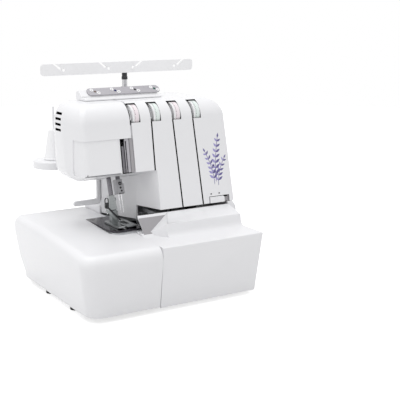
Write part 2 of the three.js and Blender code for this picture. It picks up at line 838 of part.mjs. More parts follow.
function tableForm(inset) {
  const low = -throughCut;
  const high = bedHeight + throughCut;
  return alongX(tableSideProfile(inset), tableLeft - 1, seamX + throughCut * 2)
    .intersect(alongY(tableFrontProfile(inset), frontLip - 1, tableRear + 1))
    .intersect(alongZ(tablePlan(inset), low, high));
}

// Outline of the needle plate, grown by a clearance
function plateOutline(grow) {
  const left = plateLeft - grow;
  const right = plateLeft + plateLength + grow;
  const rear = plateFront + plateDepth + grow;
  return rounded([
    [left, plateFront - grow, plateCornerRadius],
    [right, plateFront - grow],
    [right, rear],
    [left, rear, 3],
  ]);
}

function buildBed() {
  const cutOut = joined(
    alongZ(plateOutline(running), bedHeight - 20, bedHeight + throughCut),
    box(
      plateLeft + plateLength - 6, seamX + throughCut,
      plateFront - running, plateFront + plateDepth + running,
      bedHeight - 20, bedHeight + throughCut,
    ),
  );
  part('extension_table', 'casing', cut(tableForm(0), tableForm(wall), cutOut));

  const plateBottom = bedHeight - plateThickness;
  const needleSlot = box(needleX - 5, needleX + 5, needleY - 11, needleY + 3, plateBottom - 1, bedHeight + 1);
  const feedSlots = feedRows.flatMap(([x0, x1]) => [frontFeed, rearFeed].map(([y0, y1]) => box(
    x0 - running, x1 + running, y0 - feedTravel - 1, y1 + feedTravel + 1, plateBottom - 1, bedHeight + 1,
  )));
  const screwX = plateLeft + 8;
  const screwY = plateFront + plateDepth - 9;
  const screwBore = rodZ(screwX, screwY, 3.4, bedHeight - 1.2, bedHeight + 1, 12);
  part('needle_plate', 'darkSteel', cut(
    alongZ(plateOutline(0), plateBottom, bedHeight), needleSlot, ...feedSlots, screwBore,
  ));
  part('needle_plate_screw', 'darkSteel', rodZ(screwX, screwY, 3, bedHeight - 0.9, bedHeight + 0.3, 12));

  part('main_feed_dog', 'steel', feedDog(rearFeed, mainFeedTail));
  part('differential_feed_dog', 'steel', feedDog(frontFeed, 0));
}

function feedDog([y0, y1], tail) {
  const top = bedHeight - 0.4;
  const rows = feedRows.map(([x0, x1]) => box(x0, x1, y0, y1, bedHeight - 8, top));
  const carrierLeft = feedRows[0][0];
  const carrierRight = feedRows[feedRows.length - 1][1];
  return joined(...rows, box(carrierLeft, carrierRight, y0 - 1, y1 + tail, bedHeight - 11, bedHeight - 7.5));
}

// ---------------------------------------------------------------------------------------------
// Looper cover and its hinge
// ---------------------------------------------------------------------------------------------
function coverPath(inset, scooped) {
  const foot = footHeight + 0.6;
  const lip = frontLip + inset;
  const ledge = apronHeight - inset;
  const back = scooped
    ? [[coverWallY + 8 + inset * 0.6, ledge, coverFillet], [coverBack, coverTop - inset * 1.3]]
    : [
      [coverWallY + inset, ledge, coverFillet - inset],
      [coverWallY + inset, ledge + coverStep],
      [coverBack, coverTop - inset * 1.1],
    ];
  return [[inset, foot], [lip, ledge, inset === 0 ? 1.2 : 0], ...back];
}

// Cross-section of the cover's skin: the outer path, and the inner one back down
function coverSkin(scooped) {
  const skin = wall;
  const outer = coverPath(0, scooped);
  const inner = coverPath(skin, scooped).reverse();
  return rounded([...outer, ...inner]).reverse();
}

function coverSolidProfile(scooped) {
  const rimClear = trayRim + 3;
  const footRear = hingePinY + 2; // stays clear of the tray's rim as the cover folds
  return rounded([
    ...coverPath(0, scooped),
    [coverBack, footHeight + 40],
    [trayFront + wall + 2, rimClear],
    [footRear, rimClear],
    [footRear, footHeight + 0.6],
  ]).reverse();
}

function buildLooperCover() {
  const chuteRight = coverLeft + chuteWidth;
  const endWall = wall;
  const skins = joined(
    alongX(coverSkin(true), coverLeft, chuteRight),
    alongX(coverSkin(false), chuteRight, coverRight + 1),
    alongX(coverSolidProfile(false), chuteRight, chuteRight + endWall)
      .intersect(box(chuteRight, chuteRight + endWall, 0, coverBack, apronHeight - 12, coverTop)),
    alongX(coverSolidProfile(false), coverRight - coverShoulder - 6, coverRight),
    alongX(coverSolidProfile(true), coverLeft, coverLeft + endWall)
      .intersect(box(coverLeft, coverLeft + endWall, frontLip, 34, 0, apronHeight)),
  );
  // the right end leans in towards the bottom
  const lean = (offset) => [
    [coverLeft - 1, 0],
    [coverRight - coverDraft - offset, 0],
    [coverRight - offset, apronHeight - 2 - offset],
    [coverRight - offset, apronHeight - offset + 0.01],
    [coverRight - coverShoulder - offset, apronHeight - offset + 0.01],
    [coverRight - coverShoulder - 2 - offset, coverTop + 1],
    [coverLeft - 1, coverTop + 1],
  ];
  const outside = alongY(lean(0), frontLip - 1, coverBack + 1);
  const innerLean = lean(endWall).map(([x, z]) => [Math.max(x, chuteRight + endWall + 1), z]);
  const inside = alongY(innerLean, frontLip - 1, coverBack + 1)
    .intersect(alongX(coverSolidProfile(false), chuteRight, coverRight + 2))
    .subtract(alongX(coverSkin(false), chuteRight, coverRight + 2));
  const pinEnd = coverRight - coverDraft - endWall - 1;
  const knuckles = [coverLeft + 6, pinEnd - 10].map((x) => joined(
    rodX(hingePinY, hingePinZ, lugRadius, x, x + 8, 16),
    box(x, x + 8, 1.2, hingePinY, hingePinZ - lugRadius + 1, hingePinZ + lugRadius),
  ));
  const pinBore = rodX(hingePinY, hingePinZ, hingePinRadius + seat, coverLeft + 3, pinEnd, 12);
  // the scoop's left edge clears the needle plate
  const plateRight = plateLeft + plateLength;
  const plateCorner = alongY([
    [0, apronHeight - 30],
    [plateRight + 1.5, apronHeight - 30],
    [plateRight + 1.5, bedHeight + 1],
    [coverLeft + 1, coverTop + 1],
    [0, coverTop + 1],
  ], 54, coverBack + 1);
  const cover = cut(skins.intersect(outside).subtract(inside), plateCorner);
  part('looper_cover', 'casing', cut(joined(cover, ...knuckles), pinBore));
  part('cover_hinge_pin', 'steel', rodX(
    hingePinY, hingePinZ, hingePinRadius, coverLeft + 4, pinEnd - 1, 12,
  ));
}

// ---------------------------------------------------------------------------------------------
// Drive: shaft, handwheel, pulleys, belt and motor
// ---------------------------------------------------------------------------------------------
function buildDrive() {
  const wheelLeft = sideX + 4;
  const wheelRight = wheelLeft + handwheelWidth;
  const shaftEnd = wheelRight - 8;
  part('main_shaft', 'steel', rodX(shaftY, shaftZ, shaftRadius, frameLeftX - 4, shaftEnd));

  const wheelProfile = [
    [shaftRadius + seat, 0],
    [handwheelRadius - 4, 0],
    [handwheelRadius, 3],
    [handwheelRadius, handwheelWidth - 6],
    [handwheelRadius - 5, handwheelWidth],
    [handwheelRadius - 11, handwheelWidth],
    [handwheelRadius - 13, handwheelWidth - 4],
    [12, handwheelWidth - 5],
    [shaftRadius + seat, handwheelWidth - 5],
    [shaftRadius + seat, 0],
  ].map(([radius, height]) => new THREE.Vector2(radius, height));
  const wheel = solidFrom(new THREE.LatheGeometry(wheelProfile, 28)).rotate([0, 0, -90]);
  part('handwheel', 'casing', wheel.translate([wheelLeft, shaftY, shaftZ]));

  const pulleyBore = rodX(shaftY, shaftZ, shaftRadius + seat, pulleyX - 1, pulleyX + pulleyWidth + 1);
  part('main_pulley', 'castAluminium', cut(
    rodX(shaftY, shaftZ, mainPulleyRadius, pulleyX, pulleyX + pulleyWidth, 32), pulleyBore,
  ));
  const motorLeft = pulleyX - 4 - motorLength;
  part('motor_pulley', 'steel', joined(
    rodX(motorY, motorZ, motorPulleyRadius, pulleyX, pulleyX + pulleyWidth, 16),
    rodX(motorY, motorZ, 3, motorLeft + motorLength - 12, pulleyX + 1, 12),
  ));
  const boss = 8;
  part('motor', 'darkSteel', cut(
    joined(
      rodX(motorY, motorZ, motorRadius, motorLeft, motorLeft + motorLength - 2, 24),
      rodX(motorY, motorZ, boss, motorLeft - 4, motorLeft + motorLength, 16),
    ),
    rodX(motorY, motorZ, 3 + seat, motorLeft + motorLength - 13, motorLeft + motorLength + 1, 12),
  ));

  // open belt around both pulleys
  const across = new THREE.Vector2(motorY - shaftY, motorZ - shaftZ);
  const span = across.length();
  const heading = across.angle();
  const wrap = Math.asin((mainPulleyRadius - motorPulleyRadius) / span);
  const beltPath = (grow) => {
    const path = [];
    const arcSteps = 14;
    const opening = Math.PI / 2 + wrap;
    for (let step = 0; step <= arcSteps; step += 1) {
      const angle = heading + Math.PI / 2 - wrap + ((2 * opening) * step) / arcSteps;
      path.push([
        shaftY + (mainPulleyRadius + grow) * Math.cos(angle),
        shaftZ + (mainPulleyRadius + grow) * Math.sin(angle),
      ]);
    }
    for (let step = 0; step <= 8; step += 1) {
      const angle = heading - Math.PI / 2 + wrap + ((Math.PI - 2 * wrap) * step) / 8;
      path.push([
        motorY + (motorPulleyRadius + grow) * Math.cos(angle),
        motorZ + (motorPulleyRadius + grow) * Math.sin(angle),
      ]);
    }
    return path;
  };
  const inner = 0.7;
  part('drive_belt', 'rubber', cut(
    alongX(beltPath(inner + beltThickness), pulleyX + 1, pulleyX + pulleyWidth - 1),
    alongX(beltPath(inner), pulleyX, pulleyX + pulleyWidth),
  ));
}

// ---------------------------------------------------------------------------------------------
// Needles, presser foot and lifter
// ---------------------------------------------------------------------------------------------
const barGroup = new THREE.Group();
barGroup.position.set(0, needleY, needleZ);
barGroup.rotation.x = -THREE.MathUtils.degToRad(barTilt);
machine.add(barGroup);

const clampBottom = needleLength - 1;
const clampTop = clampBottom + clampHeight;

function buildNeedleGroup() {
  const halfClamp = clampWidth / 2;
  const clamp = cut(
    box(needleX - halfClamp, needleX + halfClamp, -halfClamp, halfClamp, clampBottom + seat, clampTop),
    ...[-0.5, 0.5].map((side) => rodZ(
      needleX + side * needleSpacing, 0, needleRadius + seat, clampBottom - 1, clampBottom + 11, 8,
    )),
  );
  const screws = [
    [needleX, clampTop - 6, 2.6],
    [needleX - 0.5, clampTop - 12.5, 1.6],
    [needleX + 1, clampTop - 17.5, 1.6],
  ].map(([x, z, radius]) => rodY(x, z, radius, -halfClamp - 1.8, 1 - halfClamp, 12));
  part('needle_clamp', 'steel', joined(clamp, ...screws), barGroup);
  const needle = (x) => {
    const profile = [[0, 0], [needleRadius, 6], [needleRadius, needleLength + 8], [0, needleLength + 8]]
      .map(([radius, height]) => new THREE.Vector2(radius, height));
    return solidFrom(new THREE.LatheGeometry(profile, 8)).rotate([90, 0, 0]).translate([x, 0, 0]);
  };
  part('left_needle', 'chrome', needle(needleX - needleSpacing / 2), barGroup);
  part('right_needle', 'chrome', needle(needleX + needleSpacing / 2), barGroup);
  part('needle_bar', 'chrome', rodZ(needleX, 0, barRadius, clampTop + seat, barLength, 16), barGroup);

  const collarBottom = alongBar(guideBottom) - leverGap - 6;
  const leverReach = 33;
  const collar = cut(
    box(needleX - 5, needleX + 5, -6, 6, collarBottom, collarBottom + 6),
    rodZ(needleX, 0, barRadius + seat, collarBottom - 1, collarBottom + 7, 16),
  );
  const arm = box(needleX - 4, needleX + 4, -leverReach, -6 + 0.1, collarBottom, collarBottom + 6);
  const crossBar = box(
    presserX - 4, needleX + 4, -leverReach - 1.5, -leverReach + 3, collarBottom, collarBottom + 6,
  );
  const blades = [presserX - 4, needleX + 4 - leverPlate].map((x) => box(
    x, x + leverPlate, -leverReach - 1.5, -leverReach + 1.5, collarBottom - 24, collarBottom + 6,
  ));
  part('take_up_lever', 'chrome', joined(collar, arm, crossBar, ...blades), barGroup);
}

const soleThickness = 2.6;
const lifterX = -8;
const lifterZ = headBottom + 16;

function buildPresser() {
  const ankleTop = 36;
  part('presser_bar', 'steel', rodZ(presserX, 0, barRadius, ankleTop + seat, barLength + 4, 16), barGroup);

  const soleBottom = bedHeight + seat;
  const soleTop = soleBottom + soleThickness;
  const sole = alongX(rounded([
    [needleY - 31, soleTop + 3],
    [needleY - 24, soleBottom],
    [needleY + 22, soleBottom],
    [needleY + 22, soleTop],
    [needleY - 22.6, soleTop],
    [needleY - 31, soleTop + 5.4],
  ]), presserX - 7, needleX + 10);
  const slot = box(needleX - 4.5, needleX + 4.5, needleY - 13, needleY + 6, 0, bodyTop);
  const shank = alongY([
    [presserX - 5, soleTop - 0.5],
    [presserX + 5, soleTop - 0.5],
    [presserX + 5, needleZ + 8],
    [presserX - 5, needleZ + 8],
  ], needleY - 3, needleY + 5);
  const ankle = box(presserX - 5, presserX + 5, -3.5, 3.5, 8, ankleTop)
    .rotate([-barTilt, 0, 0]).translate([0, needleY, needleZ]);
  part('presser_foot', 'steel', joined(cut(sole, slot), shank, ankle));

  part('foot_lever', 'darkPlastic', alongY(rounded([
    [presserX - 13, needleZ + 33, 2],
    [presserX - 13, needleZ + 26],
    [presserX - 9, needleZ + 24],
    [presserX - 9, soleTop + seat],
    [presserX - 5.6, soleTop + seat],
    [presserX - 5.6, needleZ + 33, 2],
  ]), needleY - 1, needleY + 3));

  const lifterFront = bodySplit + running;
  const lifterRear = lifterFront + 7;
  const handleZ = bedHeight + 15;
  part('presser_lifter', 'casing', joined(
    rodY(lifterX, lifterZ, 7, lifterFront, lifterRear, 16),
    box(lifterX - 5, lifterX + 3, lifterFront, lifterRear - 2, handleZ + 4, lifterZ),
    alongY(rounded([
      [lifterX - 34, handleZ, 3.5],
      [lifterX + 3, handleZ, 3],
      [lifterX + 3, handleZ + 9],
      [lifterX - 34, handleZ + 8, 3.5],
    ]), lifterFront, lifterRear),
  ));
}

// ---------------------------------------------------------------------------------------------
// Loopers and knives
// ---------------------------------------------------------------------------------------------
function buildLoopers() {
  const tipZ = bedHeight - 14;
  part('lower_looper', 'steel', joined(
    rodY(lowerLooperX, lowerLooperZ, looperShaftRadius, lowerLooperY, looperShaftEnd, 16),
    rodY(lowerLooperX, lowerLooperZ, 8, lowerLooperY, lowerLooperY + looperWidth + 3, 16),
    alongY([
      [lowerLooperX - 3.5, lowerLooperZ],
      [lowerLooperX + 3.5, lowerLooperZ],
      [lowerLooperX + 2, tipZ - 2],
      [lowerLooperX - 13, tipZ - 1],
      [lowerLooperX - 2, tipZ - 6],
    ], lowerLooperY, lowerLooperY + looperWidth),
  ));
  part('upper_looper', 'steel', joined(
    rodY(upperLooperX, upperLooperZ, looperShaftRadius, upperLooperY, looperShaftEnd, 16),
    rodY(upperLooperX, upperLooperZ, 8, upperLooperY, upperLooperY + looperWidth + 8, 16),
    alongY([
      [upperLooperX - 3, upperLooperZ],
      [upperLooperX + 4, upperLooperZ],
      [upperLooperX - 10, tipZ - 6],
      [upperLooperX - 25, tipZ],
      [upperLooperX - 14, tipZ - 10],
    ], upperLooperY, upperLooperY + looperWidth),
  ));
}

function buildKnives() {
  const edge = bedHeight;
  const holderTop = bedHeight - 12;
  const knifeRight = knifeX - 0.4;
  part('lower_knife', 'steel', box(
    knifeRight - knifeThickness, knifeRight, knifeY - 14, knifeY + 2, holderTop - 8, edge,
  ));
  const strutTop = looperWallTop;
  const leg = box(knifeX, knifeX + 5, knifeY - 16, knifeY + 4, strutTop - 8, holderTop);
  const strut = box(knifeX, knifeX + 5, knifeY, looperWallY - seat, strutTop - 8, strutTop);
  part('knife_holder', 'castAluminium', joined(leg, strut));
  part('upper_knife', 'darkPlastic', joined(
    rodX(knifeY, knifeZ, knifeKnobRadius, knifeX + 4, knifeX + 17, 16),
    rodX(knifeY, knifeZ, 3, knifeX + 0.5, knifeX + 40, 12),
    box(knifeX + 0.4, knifeX + 0.4 + knifeThickness, knifeY - 8, knifeY + 3, edge - 4, knifeZ + 3),
  ));
}

// ---------------------------------------------------------------------------------------------
// Tension dials, top thread guide and front slider
// ---------------------------------------------------------------------------------------------
function buildTension() {
  for (let index = 0; index < dialCount; index += 1) {
    const x = dialX(index);
    const dial = cut(
      rodX(0, 0, dialRadius, 0, dialWidth, 40),
      rodX(0, 0, axleRadius + seat, -1, dialWidth + 1, 16),
    );
    const look = index % 2 === 0 ? 'pinkDial' : 'greenDial';
    part(`tension_dial_${index + 1}`, look, dial).position.set(x, dialY, dialZ);
  }
  const discs = Array.from({ length: dialCount }, (_, index) => {
    const right = dialX(index) - running;
    return [0, 1].map((side) => {
      const x = right - discThickness - side * (discThickness + 0.5);
      return rodX(dialY, dialZ, discRadius, x, x + discThickness, 16);
    });
  });
  const axle = rodX(dialY, dialZ, axleRadius, axleLeft, axleRight, 16);
  part('tension_axle', 'chrome', joined(axle, ...discs.flat()));
}

function buildTopGuide() {
  const left = guidePlateCentre - guidePlateLength / 2;
  const right = guidePlateCentre + guidePlateLength / 2;
  const base = bodyTop + seat;
  const tilt = THREE.MathUtils.degToRad(guidePlateTilt);
  const across = guidePlateDepth * Math.cos(tilt);
  const rise = guidePlateDepth * Math.sin(tilt);
  const front = guidePlateY - across / 2;
  const rear = guidePlateY + across / 2;
  const lowEdge = base + guidePlateRise;
  const drop = seat / Math.cos(tilt);
  part('guide_holder', 'casing', alongX(rounded([
    [front - 14, base],
    [rear + 8, base],
    [rear + 8, lowEdge + rise - 4, 3],
    [rear - 1, lowEdge + rise - drop - (1 * rise) / across],
    [front, lowEdge - drop],
    [front, lowEdge - 2, 1],
    [front - 14, lowEdge - 3, 2],
  ]), left - 12, right - 6));
  const holes = [0, 1, 2, 3].flatMap((group) => [8, 18].map((inset, side) => rodZ(
    -guidePlateLength / 2 + inset + group * 34, guidePlateDepth / 2 + (side === 0 ? 3 : -3), 2, -1, 3, 10,
  )));
  const half = guidePlateLength / 2;
  const plate = alongZ(rounded([
    [-half, 0, 6], [half, 0, 6], [half, guidePlateDepth, 6], [-half, guidePlateDepth, 6],
  ]), 0, 1.4);
  const mesh = part('thread_guide_plate', 'steel', cut(plate, ...holes));
  mesh.position.set(guidePlateCentre, front, lowEdge);
  mesh.rotation.x = tilt;
}

function buildSlider() {
  const width = 22;
  const back = faceY(slotZ + slotHeight + 2) + casingWall + seat;
  const inner = box(
    slotLeft + 0.6, slotLeft + 0.6 + width, faceY(slotZ) - 2.2, back + 2.4,
    slotZ + running, slotZ + slotHeight - running,
  );
  const keeper = box(
    slotLeft - 2, slotLeft + width + 2, back, back + 2.4, slotZ - 1.5, slotZ + slotHeight + 2,
  );
  part('front_slider', 'trim', joined(inner, keeper));
}

// ---------------------------------------------------------------------------------------------
// Spool stand and telescopic thread guide
// ---------------------------------------------------------------------------------------------
function spoolX(index) {
  return standCentre + (index - 1.5) * spoolPitch;
}

function buildStand() {
  const left = spoolX(0) - standOverhang;
  const right = spoolX(3) + standOverhang;
  const front = standRow - standHalfDepth;
  const rear = standRow + standHalfDepth;
  const plateBottom = standHeight - standThickness;
  const mastBore = rodZ(mastX, mastY, outerTubeRadius + seat, plateBottom - 1, standHeight + 1);
  const plate = alongZ(rounded([
    [left, front, 30], [right, front, 30], [right, rear, 30], [left, rear, 30],
  ], 6), plateBottom, standHeight);
  const hollow = alongZ(rounded([
    [left + wall, front + wall, 27], [right - wall, front + wall, 27],
    [right - wall, rear - wall, 27], [left + wall, rear - wall, 27],
  ], 6), plateBottom - 1, standHeight - wall);
  const mastBoss = rodZ(mastX, mastY, outerTubeRadius + 3, plateBottom, standHeight - 1);
  const seats = [0, 1, 2, 3].map(
    (index) => rodZ(spoolX(index), standRow, 6, plateBottom, standHeight - 1, 12),
  );
  const inside = alongZ(rounded([
    [left, front, 30], [right, front, 30], [right, rear, 30], [left, rear, 30],
  ], 6), plateBottom - 2, standHeight + 2);
  const pins = [0, 1, 2, 3].map(
    (index) => rodZ(spoolX(index), standRow, pinRadius, plateBottom, standHeight + pinHeight, 12),
  );
  part('spool_stand', 'casing', cut(
    joined(cut(plate, hollow), mastBoss.intersect(inside), ...seats, ...pins), mastBore,
  ));

  const bracketTop = plateBottom - seat;
  const bracketLeft = mastX - bracketWidth / 2;
  const bracketRight = bracketLeft + bracketWidth;
  const bracketFront = bodyRear + seat;
  part('stand_bracket', 'steel', joined(
    box(bracketLeft, bracketRight, bracketFront, standRow + 20, bracketTop - bracketThickness, bracketTop),
    box(
      bracketLeft, bracketRight, bracketFront, bracketFront + bracketThickness,
      bracketTop - 30, bracketTop,
    ),
  ));

  for (let index = 0; index < spoolCount; index += 1) {
    const profile = [
      [0, 0],
      [coneRadius, 0],
      [coneRadius, 2],
      [coneTopRadius, coneHeight - 2],
      [coneTopRadius - 2, coneHeight],
      [0, coneHeight],
    ].map(([radius, height]) => new THREE.Vector2(radius, height));
    const cone = solidFrom(new THREE.LatheGeometry(profile, 14)).rotate([90, 0, 0])
      .translate([spoolX(index), standRow, standHeight + seat]);
    const slot = box(
      spoolX(index) - 1.2, spoolX(index) + 1.2, standRow - coneRadius - 1, standRow - pinRadius - 2,
      standHeight - 1, standHeight + coneHeight - 10,
    );
    const bore = rodZ(
      spoolX(index), standRow, pinRadius + seat, standHeight - 1, standHeight + coneHeight + 1, 12,
    );
    part(`spool_cone_${index + 1}`, 'casing', cut(cone, slot, bore));
  }

  const tubeBottom = bracketTop + seat;
  part('mast_outer_tube', 'steel', cut(
    rodZ(mastX, mastY, outerTubeRadius, tubeBottom, mastTop),
    rodZ(mastX, mastY, middleTubeRadius + seat, tubeBottom - 1, mastTop + 1),
  ));
  const middleTop = mastTop + middleShow;
  const middleBottom = middleTop - mastTravel - middleShow - tubeEngagement;
  part('mast_middle_tube', 'chrome', cut(
    rodZ(mastX, mastY, middleTubeRadius, middleBottom, middleTop),
    rodZ(mastX, mastY, innerRodRadius + seat, middleBottom - 1, middleTop + 1),
  ));
  const innerTop = middleTop + innerShow;
  const barBottom = innerTop;
  const barTop = barBottom + guideBarHeight;
  part('mast_inner_rod', 'chrome', rodZ(mastX, mastY, innerRodRadius, middleBottom + 6, barTop - 4, 16));

  buildGuideBar(barBottom, barTop);
}

function buildGuideBar(bottom, top) {
  const left = guideBarCentre - guideBarLength / 2;
  const right = guideBarCentre + guideBarLength / 2;
  const bend = mastX + 10;
  const face = mastY - innerRodRadius - seat - guideBarThickness;
  const strip = (x0, x1, y) => box(x0, x1, y, y + guideBarThickness, bottom, top);
  const boss = cut(
    box(mastX - 7, mastX + 7, face + guideBarThickness - 0.1, mastY + innerRodRadius + 3, bottom, top),
    rodZ(mastX, mastY, innerRodRadius + seat, bottom - 1, top - 4 + seat, 16),
  );
  const step = 2.4;
  const outlineMask = alongY(rounded([
    [left, bottom + 1, 5], [left + 8, bottom, 3], [right, bottom, 5], [right, top, 5], [left, top, 5],
  ]), face - 10, face + 30);
  const sheet = joined(
    strip(left, bend, face),
    box(bend - guideBarThickness, bend, face, face + step + guideBarThickness, bottom, top),
    strip(bend - 0.1, right, face + step),
  ).intersect(outlineMask);
  // four slanting thread slots from the top edge, the right-hand pair mirrored, each with a hole beside it
  const notches = [0, 1, 2, 3].flatMap((index) => {
    const side = index < 2 ? 1 : -1;
    const x = spoolX(index) + side * (index === 0 || index === 3 ? 2 : 9);
    const hook = alongY([
      [x - side * 15, top + 1], [x - side * 11, top + 1], [x, top - 7.5], [x - side * 2.5, top - 9.5],
    ], face - 5, face + 15);
    return [hook, rodY(x + side * 4, bottom + 8, 2.2, face - 5, face + 15, 12)];
  });
  part('thread_guide_bar', 'trim', joined(cut(sheet, ...notches), boss));
}

// ---------------------------------------------------------------------------------------------
// Right-hand side: dials, power inlet and switch
// ---------------------------------------------------------------------------------------------
function buildSideControls() {
  const sideDial = (z) => joined(
    rodX(sideDialY, z, sideDialRadius, sideX + running, sideX + running + sideDialWidth, 24),
    rodX(sideDialY, z, 3, sideX - 12, sideX + 1, 12),
  );
  part('stitch_length_dial', 'trim', sideDial(stitchDialZ));
  part('differential_dial', 'trim', sideDial(feedDialZ));

  const panelLeft = sideX - 14;
  const panelFace = sideX + 1.2;
  const rear = panelY + panelLength;
  const rockerY = rear - 8 - rockerLength;
  const rockerZ = panelZ + (panelHeight - rockerHeight) / 2;
  const inletPocket = box(
    panelFace - 11, panelFace + 1, panelY + 5, panelY + 31, panelZ + 5, panelZ + panelHeight - 5,
  );
  const pins = [0, 1, 2].map((index) => rodX(
    panelY + 11 + index * 7, panelZ + panelHeight / 2, 1.4, panelFace - 12, panelFace - 4, 8,
  ));
  const rockerPocket = box(
    panelFace - 9, panelFace + 1, rockerY, rockerY + rockerLength, rockerZ, rockerZ + rockerHeight,
  );
  part('power_inlet', 'darkPlastic', joined(
    cut(box(panelLeft, panelFace, panelY, rear, panelZ, panelZ + panelHeight), inletPocket, rockerPocket),
    ...pins,
  ));
  const middle = rockerZ + rockerHeight / 2;
  const half = rockerHeight / 2 - 1;
  part('power_rocker', 'darkPlastic', alongY([
    [panelFace - 7, middle - 3],
    [panelFace + 0.5, middle - half],
    [panelFace + 2.5, middle - half],
    [panelFace + 1.2, middle],
    [panelFace + 2.5, middle + half],
    [panelFace + 0.5, middle + half],
    [panelFace - 7, middle + 3],
  ], rockerY + running, rockerY + rockerLength - running));
}

buildBase();
buildFrame();
buildBody();
buildHead();
buildRearAndSide();
buildBed();
buildLooperCover();
buildDrive();
buildNeedleGroup();
buildPresser();
buildLoopers();
buildKnives();
buildTension();
buildTopGuide();
buildSlider();
buildStand();
buildSideControls();

// Origin at the centre of the footprint, on the floor
const rightmost = sideX + 4 + handwheelWidth;
const rearmost = standRow + standHalfDepth;
const wheelCentreX = (tableLeft + rightmost) / 2;
machine.position.set(-wheelCentreX, -(frontLip + rearmost) / 2, 0);

export default machine;
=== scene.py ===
# %% [markdown]
# # Overlock sewing machine
# The CAD model gives the frame: every size, every axle and every body that moves. This file dresses
# it. The big mouldings are built again with smooth curves, the small metal parts get their real
# detail, and each surface gets a material. The CAD is loaded first and never moved.

# %% Load the frame
import math

import bmesh
import bpy
from mathutils import Matrix, Vector


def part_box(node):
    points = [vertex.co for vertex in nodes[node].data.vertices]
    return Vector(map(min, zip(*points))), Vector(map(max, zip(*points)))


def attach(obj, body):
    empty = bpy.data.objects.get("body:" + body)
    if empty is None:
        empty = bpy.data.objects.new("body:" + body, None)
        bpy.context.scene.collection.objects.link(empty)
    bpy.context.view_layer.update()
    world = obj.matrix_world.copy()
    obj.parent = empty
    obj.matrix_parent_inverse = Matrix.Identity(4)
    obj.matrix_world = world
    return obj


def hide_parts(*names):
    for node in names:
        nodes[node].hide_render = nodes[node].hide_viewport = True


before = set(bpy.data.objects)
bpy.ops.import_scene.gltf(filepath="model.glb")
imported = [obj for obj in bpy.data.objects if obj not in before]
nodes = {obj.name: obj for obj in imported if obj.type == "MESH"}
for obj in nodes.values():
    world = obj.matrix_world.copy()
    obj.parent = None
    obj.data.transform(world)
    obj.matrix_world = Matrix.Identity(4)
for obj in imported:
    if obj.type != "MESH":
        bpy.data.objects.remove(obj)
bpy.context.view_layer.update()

# %% [markdown]
# ## One drawing, one origin
# The machine is drawn in millimetres from the foot of its front face, where the extension table
# meets the looper cover, because a maker would measure from that corner. One matrix turns the
# drawing into metres in the frame. Heights and faces are read from the CAD where it has them, so a
# change of size there carries over.

# %% Drawing to frame
table_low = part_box("extension_table")[0]
TABLE_REACH, FRONT_LIP = 120.0, -10.0
DRAWING = Matrix.Translation(
    (table_low.x + TABLE_REACH / 1000, table_low.y - FRONT_LIP / 1000, 0)
) @ Matrix.Scale(0.001, 4)
TO_DRAWING = DRAWING.inverted()


def drawn_box(node):
    """Lowest and highest corner of a CAD node, in millimetres on the drawing."""
    low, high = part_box(node)
    return TO_DRAWING @ low, TO_DRAWING @ high


BED = drawn_box("extension_table")[1].z
BODY_TOP = drawn_box("front_cover")[1].z
HEAD_LEFT = drawn_box("head_cover")[0].x
HEAD_RIGHT = drawn_box("head_cover")[1].x
BODY_RIGHT = drawn_box("front_cover")[1].x
BODY_SPLIT = drawn_box("front_cover")[1].y
BODY_LEFT = HEAD_RIGHT + 3
COVER_TOP = drawn_box("looper_cover")[1].z
BODY_BOTTOM = COVER_TOP + 6
LOWER_EDGE = BODY_BOTTOM - 2.5
HEAD_BOTTOM = BED + 82
BODY_FRONT = 77.0
TOP_RADIUS = 30.0
EDGE_Z = BODY_TOP - TOP_RADIUS
print("bed", round(BED, 1), "top", round(BODY_TOP, 1), "right", round(BODY_RIGHT, 1))


def face_y(z):
    """The front face leans back as it rises."""
    return BODY_FRONT + (z - BODY_BOTTOM) * 0.159


def side_x(z):
    """The right side stands out a little over the side cover and leans in above it."""
    return BODY_RIGHT + 4 - max(z - BODY_BOTTOM, 0) * 0.055


EDGE_Y = face_y(EDGE_Z) + TOP_RADIUS

# %% [markdown]
# ## Outlines pulled out to a length
# Most mouldings are a flat outline with rounded corners that is pulled out along one axis. A curve
# could give the outline, but here it starts as a few corner vertices: a vertex bevel then rounds
# each one by its own radius, and an extrusion makes the solid, so each corner is one line to read.

# %% Outlines and extrusions
AXES = {
    "X": lambda u, v, level: Vector((level, u, v)),
    "Y": lambda u, v, level: Vector((u, level, v)),
    "Z": lambda u, v, level: Vector((u, v, level)),
}


def outline(bm, corners, axis, level, segments=6):
    """A flat face; a corner is (u, v) or (u, v, radius)."""
    flat = [Vector(corner[:2]) for corner in corners]
    known = set(bm.faces)
    verts = [bm.verts.new(AXES[axis](point.x, point.y, level)) for point in flat]
    bm.faces.new(verts)
    for index, corner in enumerate(corners):
        if len(corner) < 3 or corner[2] <= 0:
            continue
        to_last = flat[index - 1] - flat[index]
        to_next = flat[(index + 1) % len(flat)] - flat[index]
        reach = corner[2] / math.tan(to_last.angle(to_next) / 2)
        bmesh.ops.bevel(
            bm, geom=[verts[index]], affect="VERTICES", offset=reach, offset_type="OFFSET",
            segments=segments, profile=0.5, material=-1, clamp_overlap=False,
        )
    return next(face for face in bm.faces if face not in known)


def extruded(corners, axis, start, end, segments=6, bm=None):
    """An outline pulled out along an axis."""
    bm = bm or bmesh.new()
    face = outline(bm, corners, axis, start, segments)
    grown = bmesh.ops.extrude_face_region(bm, geom=[face], use_keep_orig=True)["geom"]
    copies = [item for item in grown if isinstance(item, bmesh.types.BMVert)]
    bmesh.ops.translate(bm, vec=AXES[axis](0, 0, end - start), verts=copies)
    bmesh.ops.recalc_face_normals(bm, faces=bm.faces)
    return bm


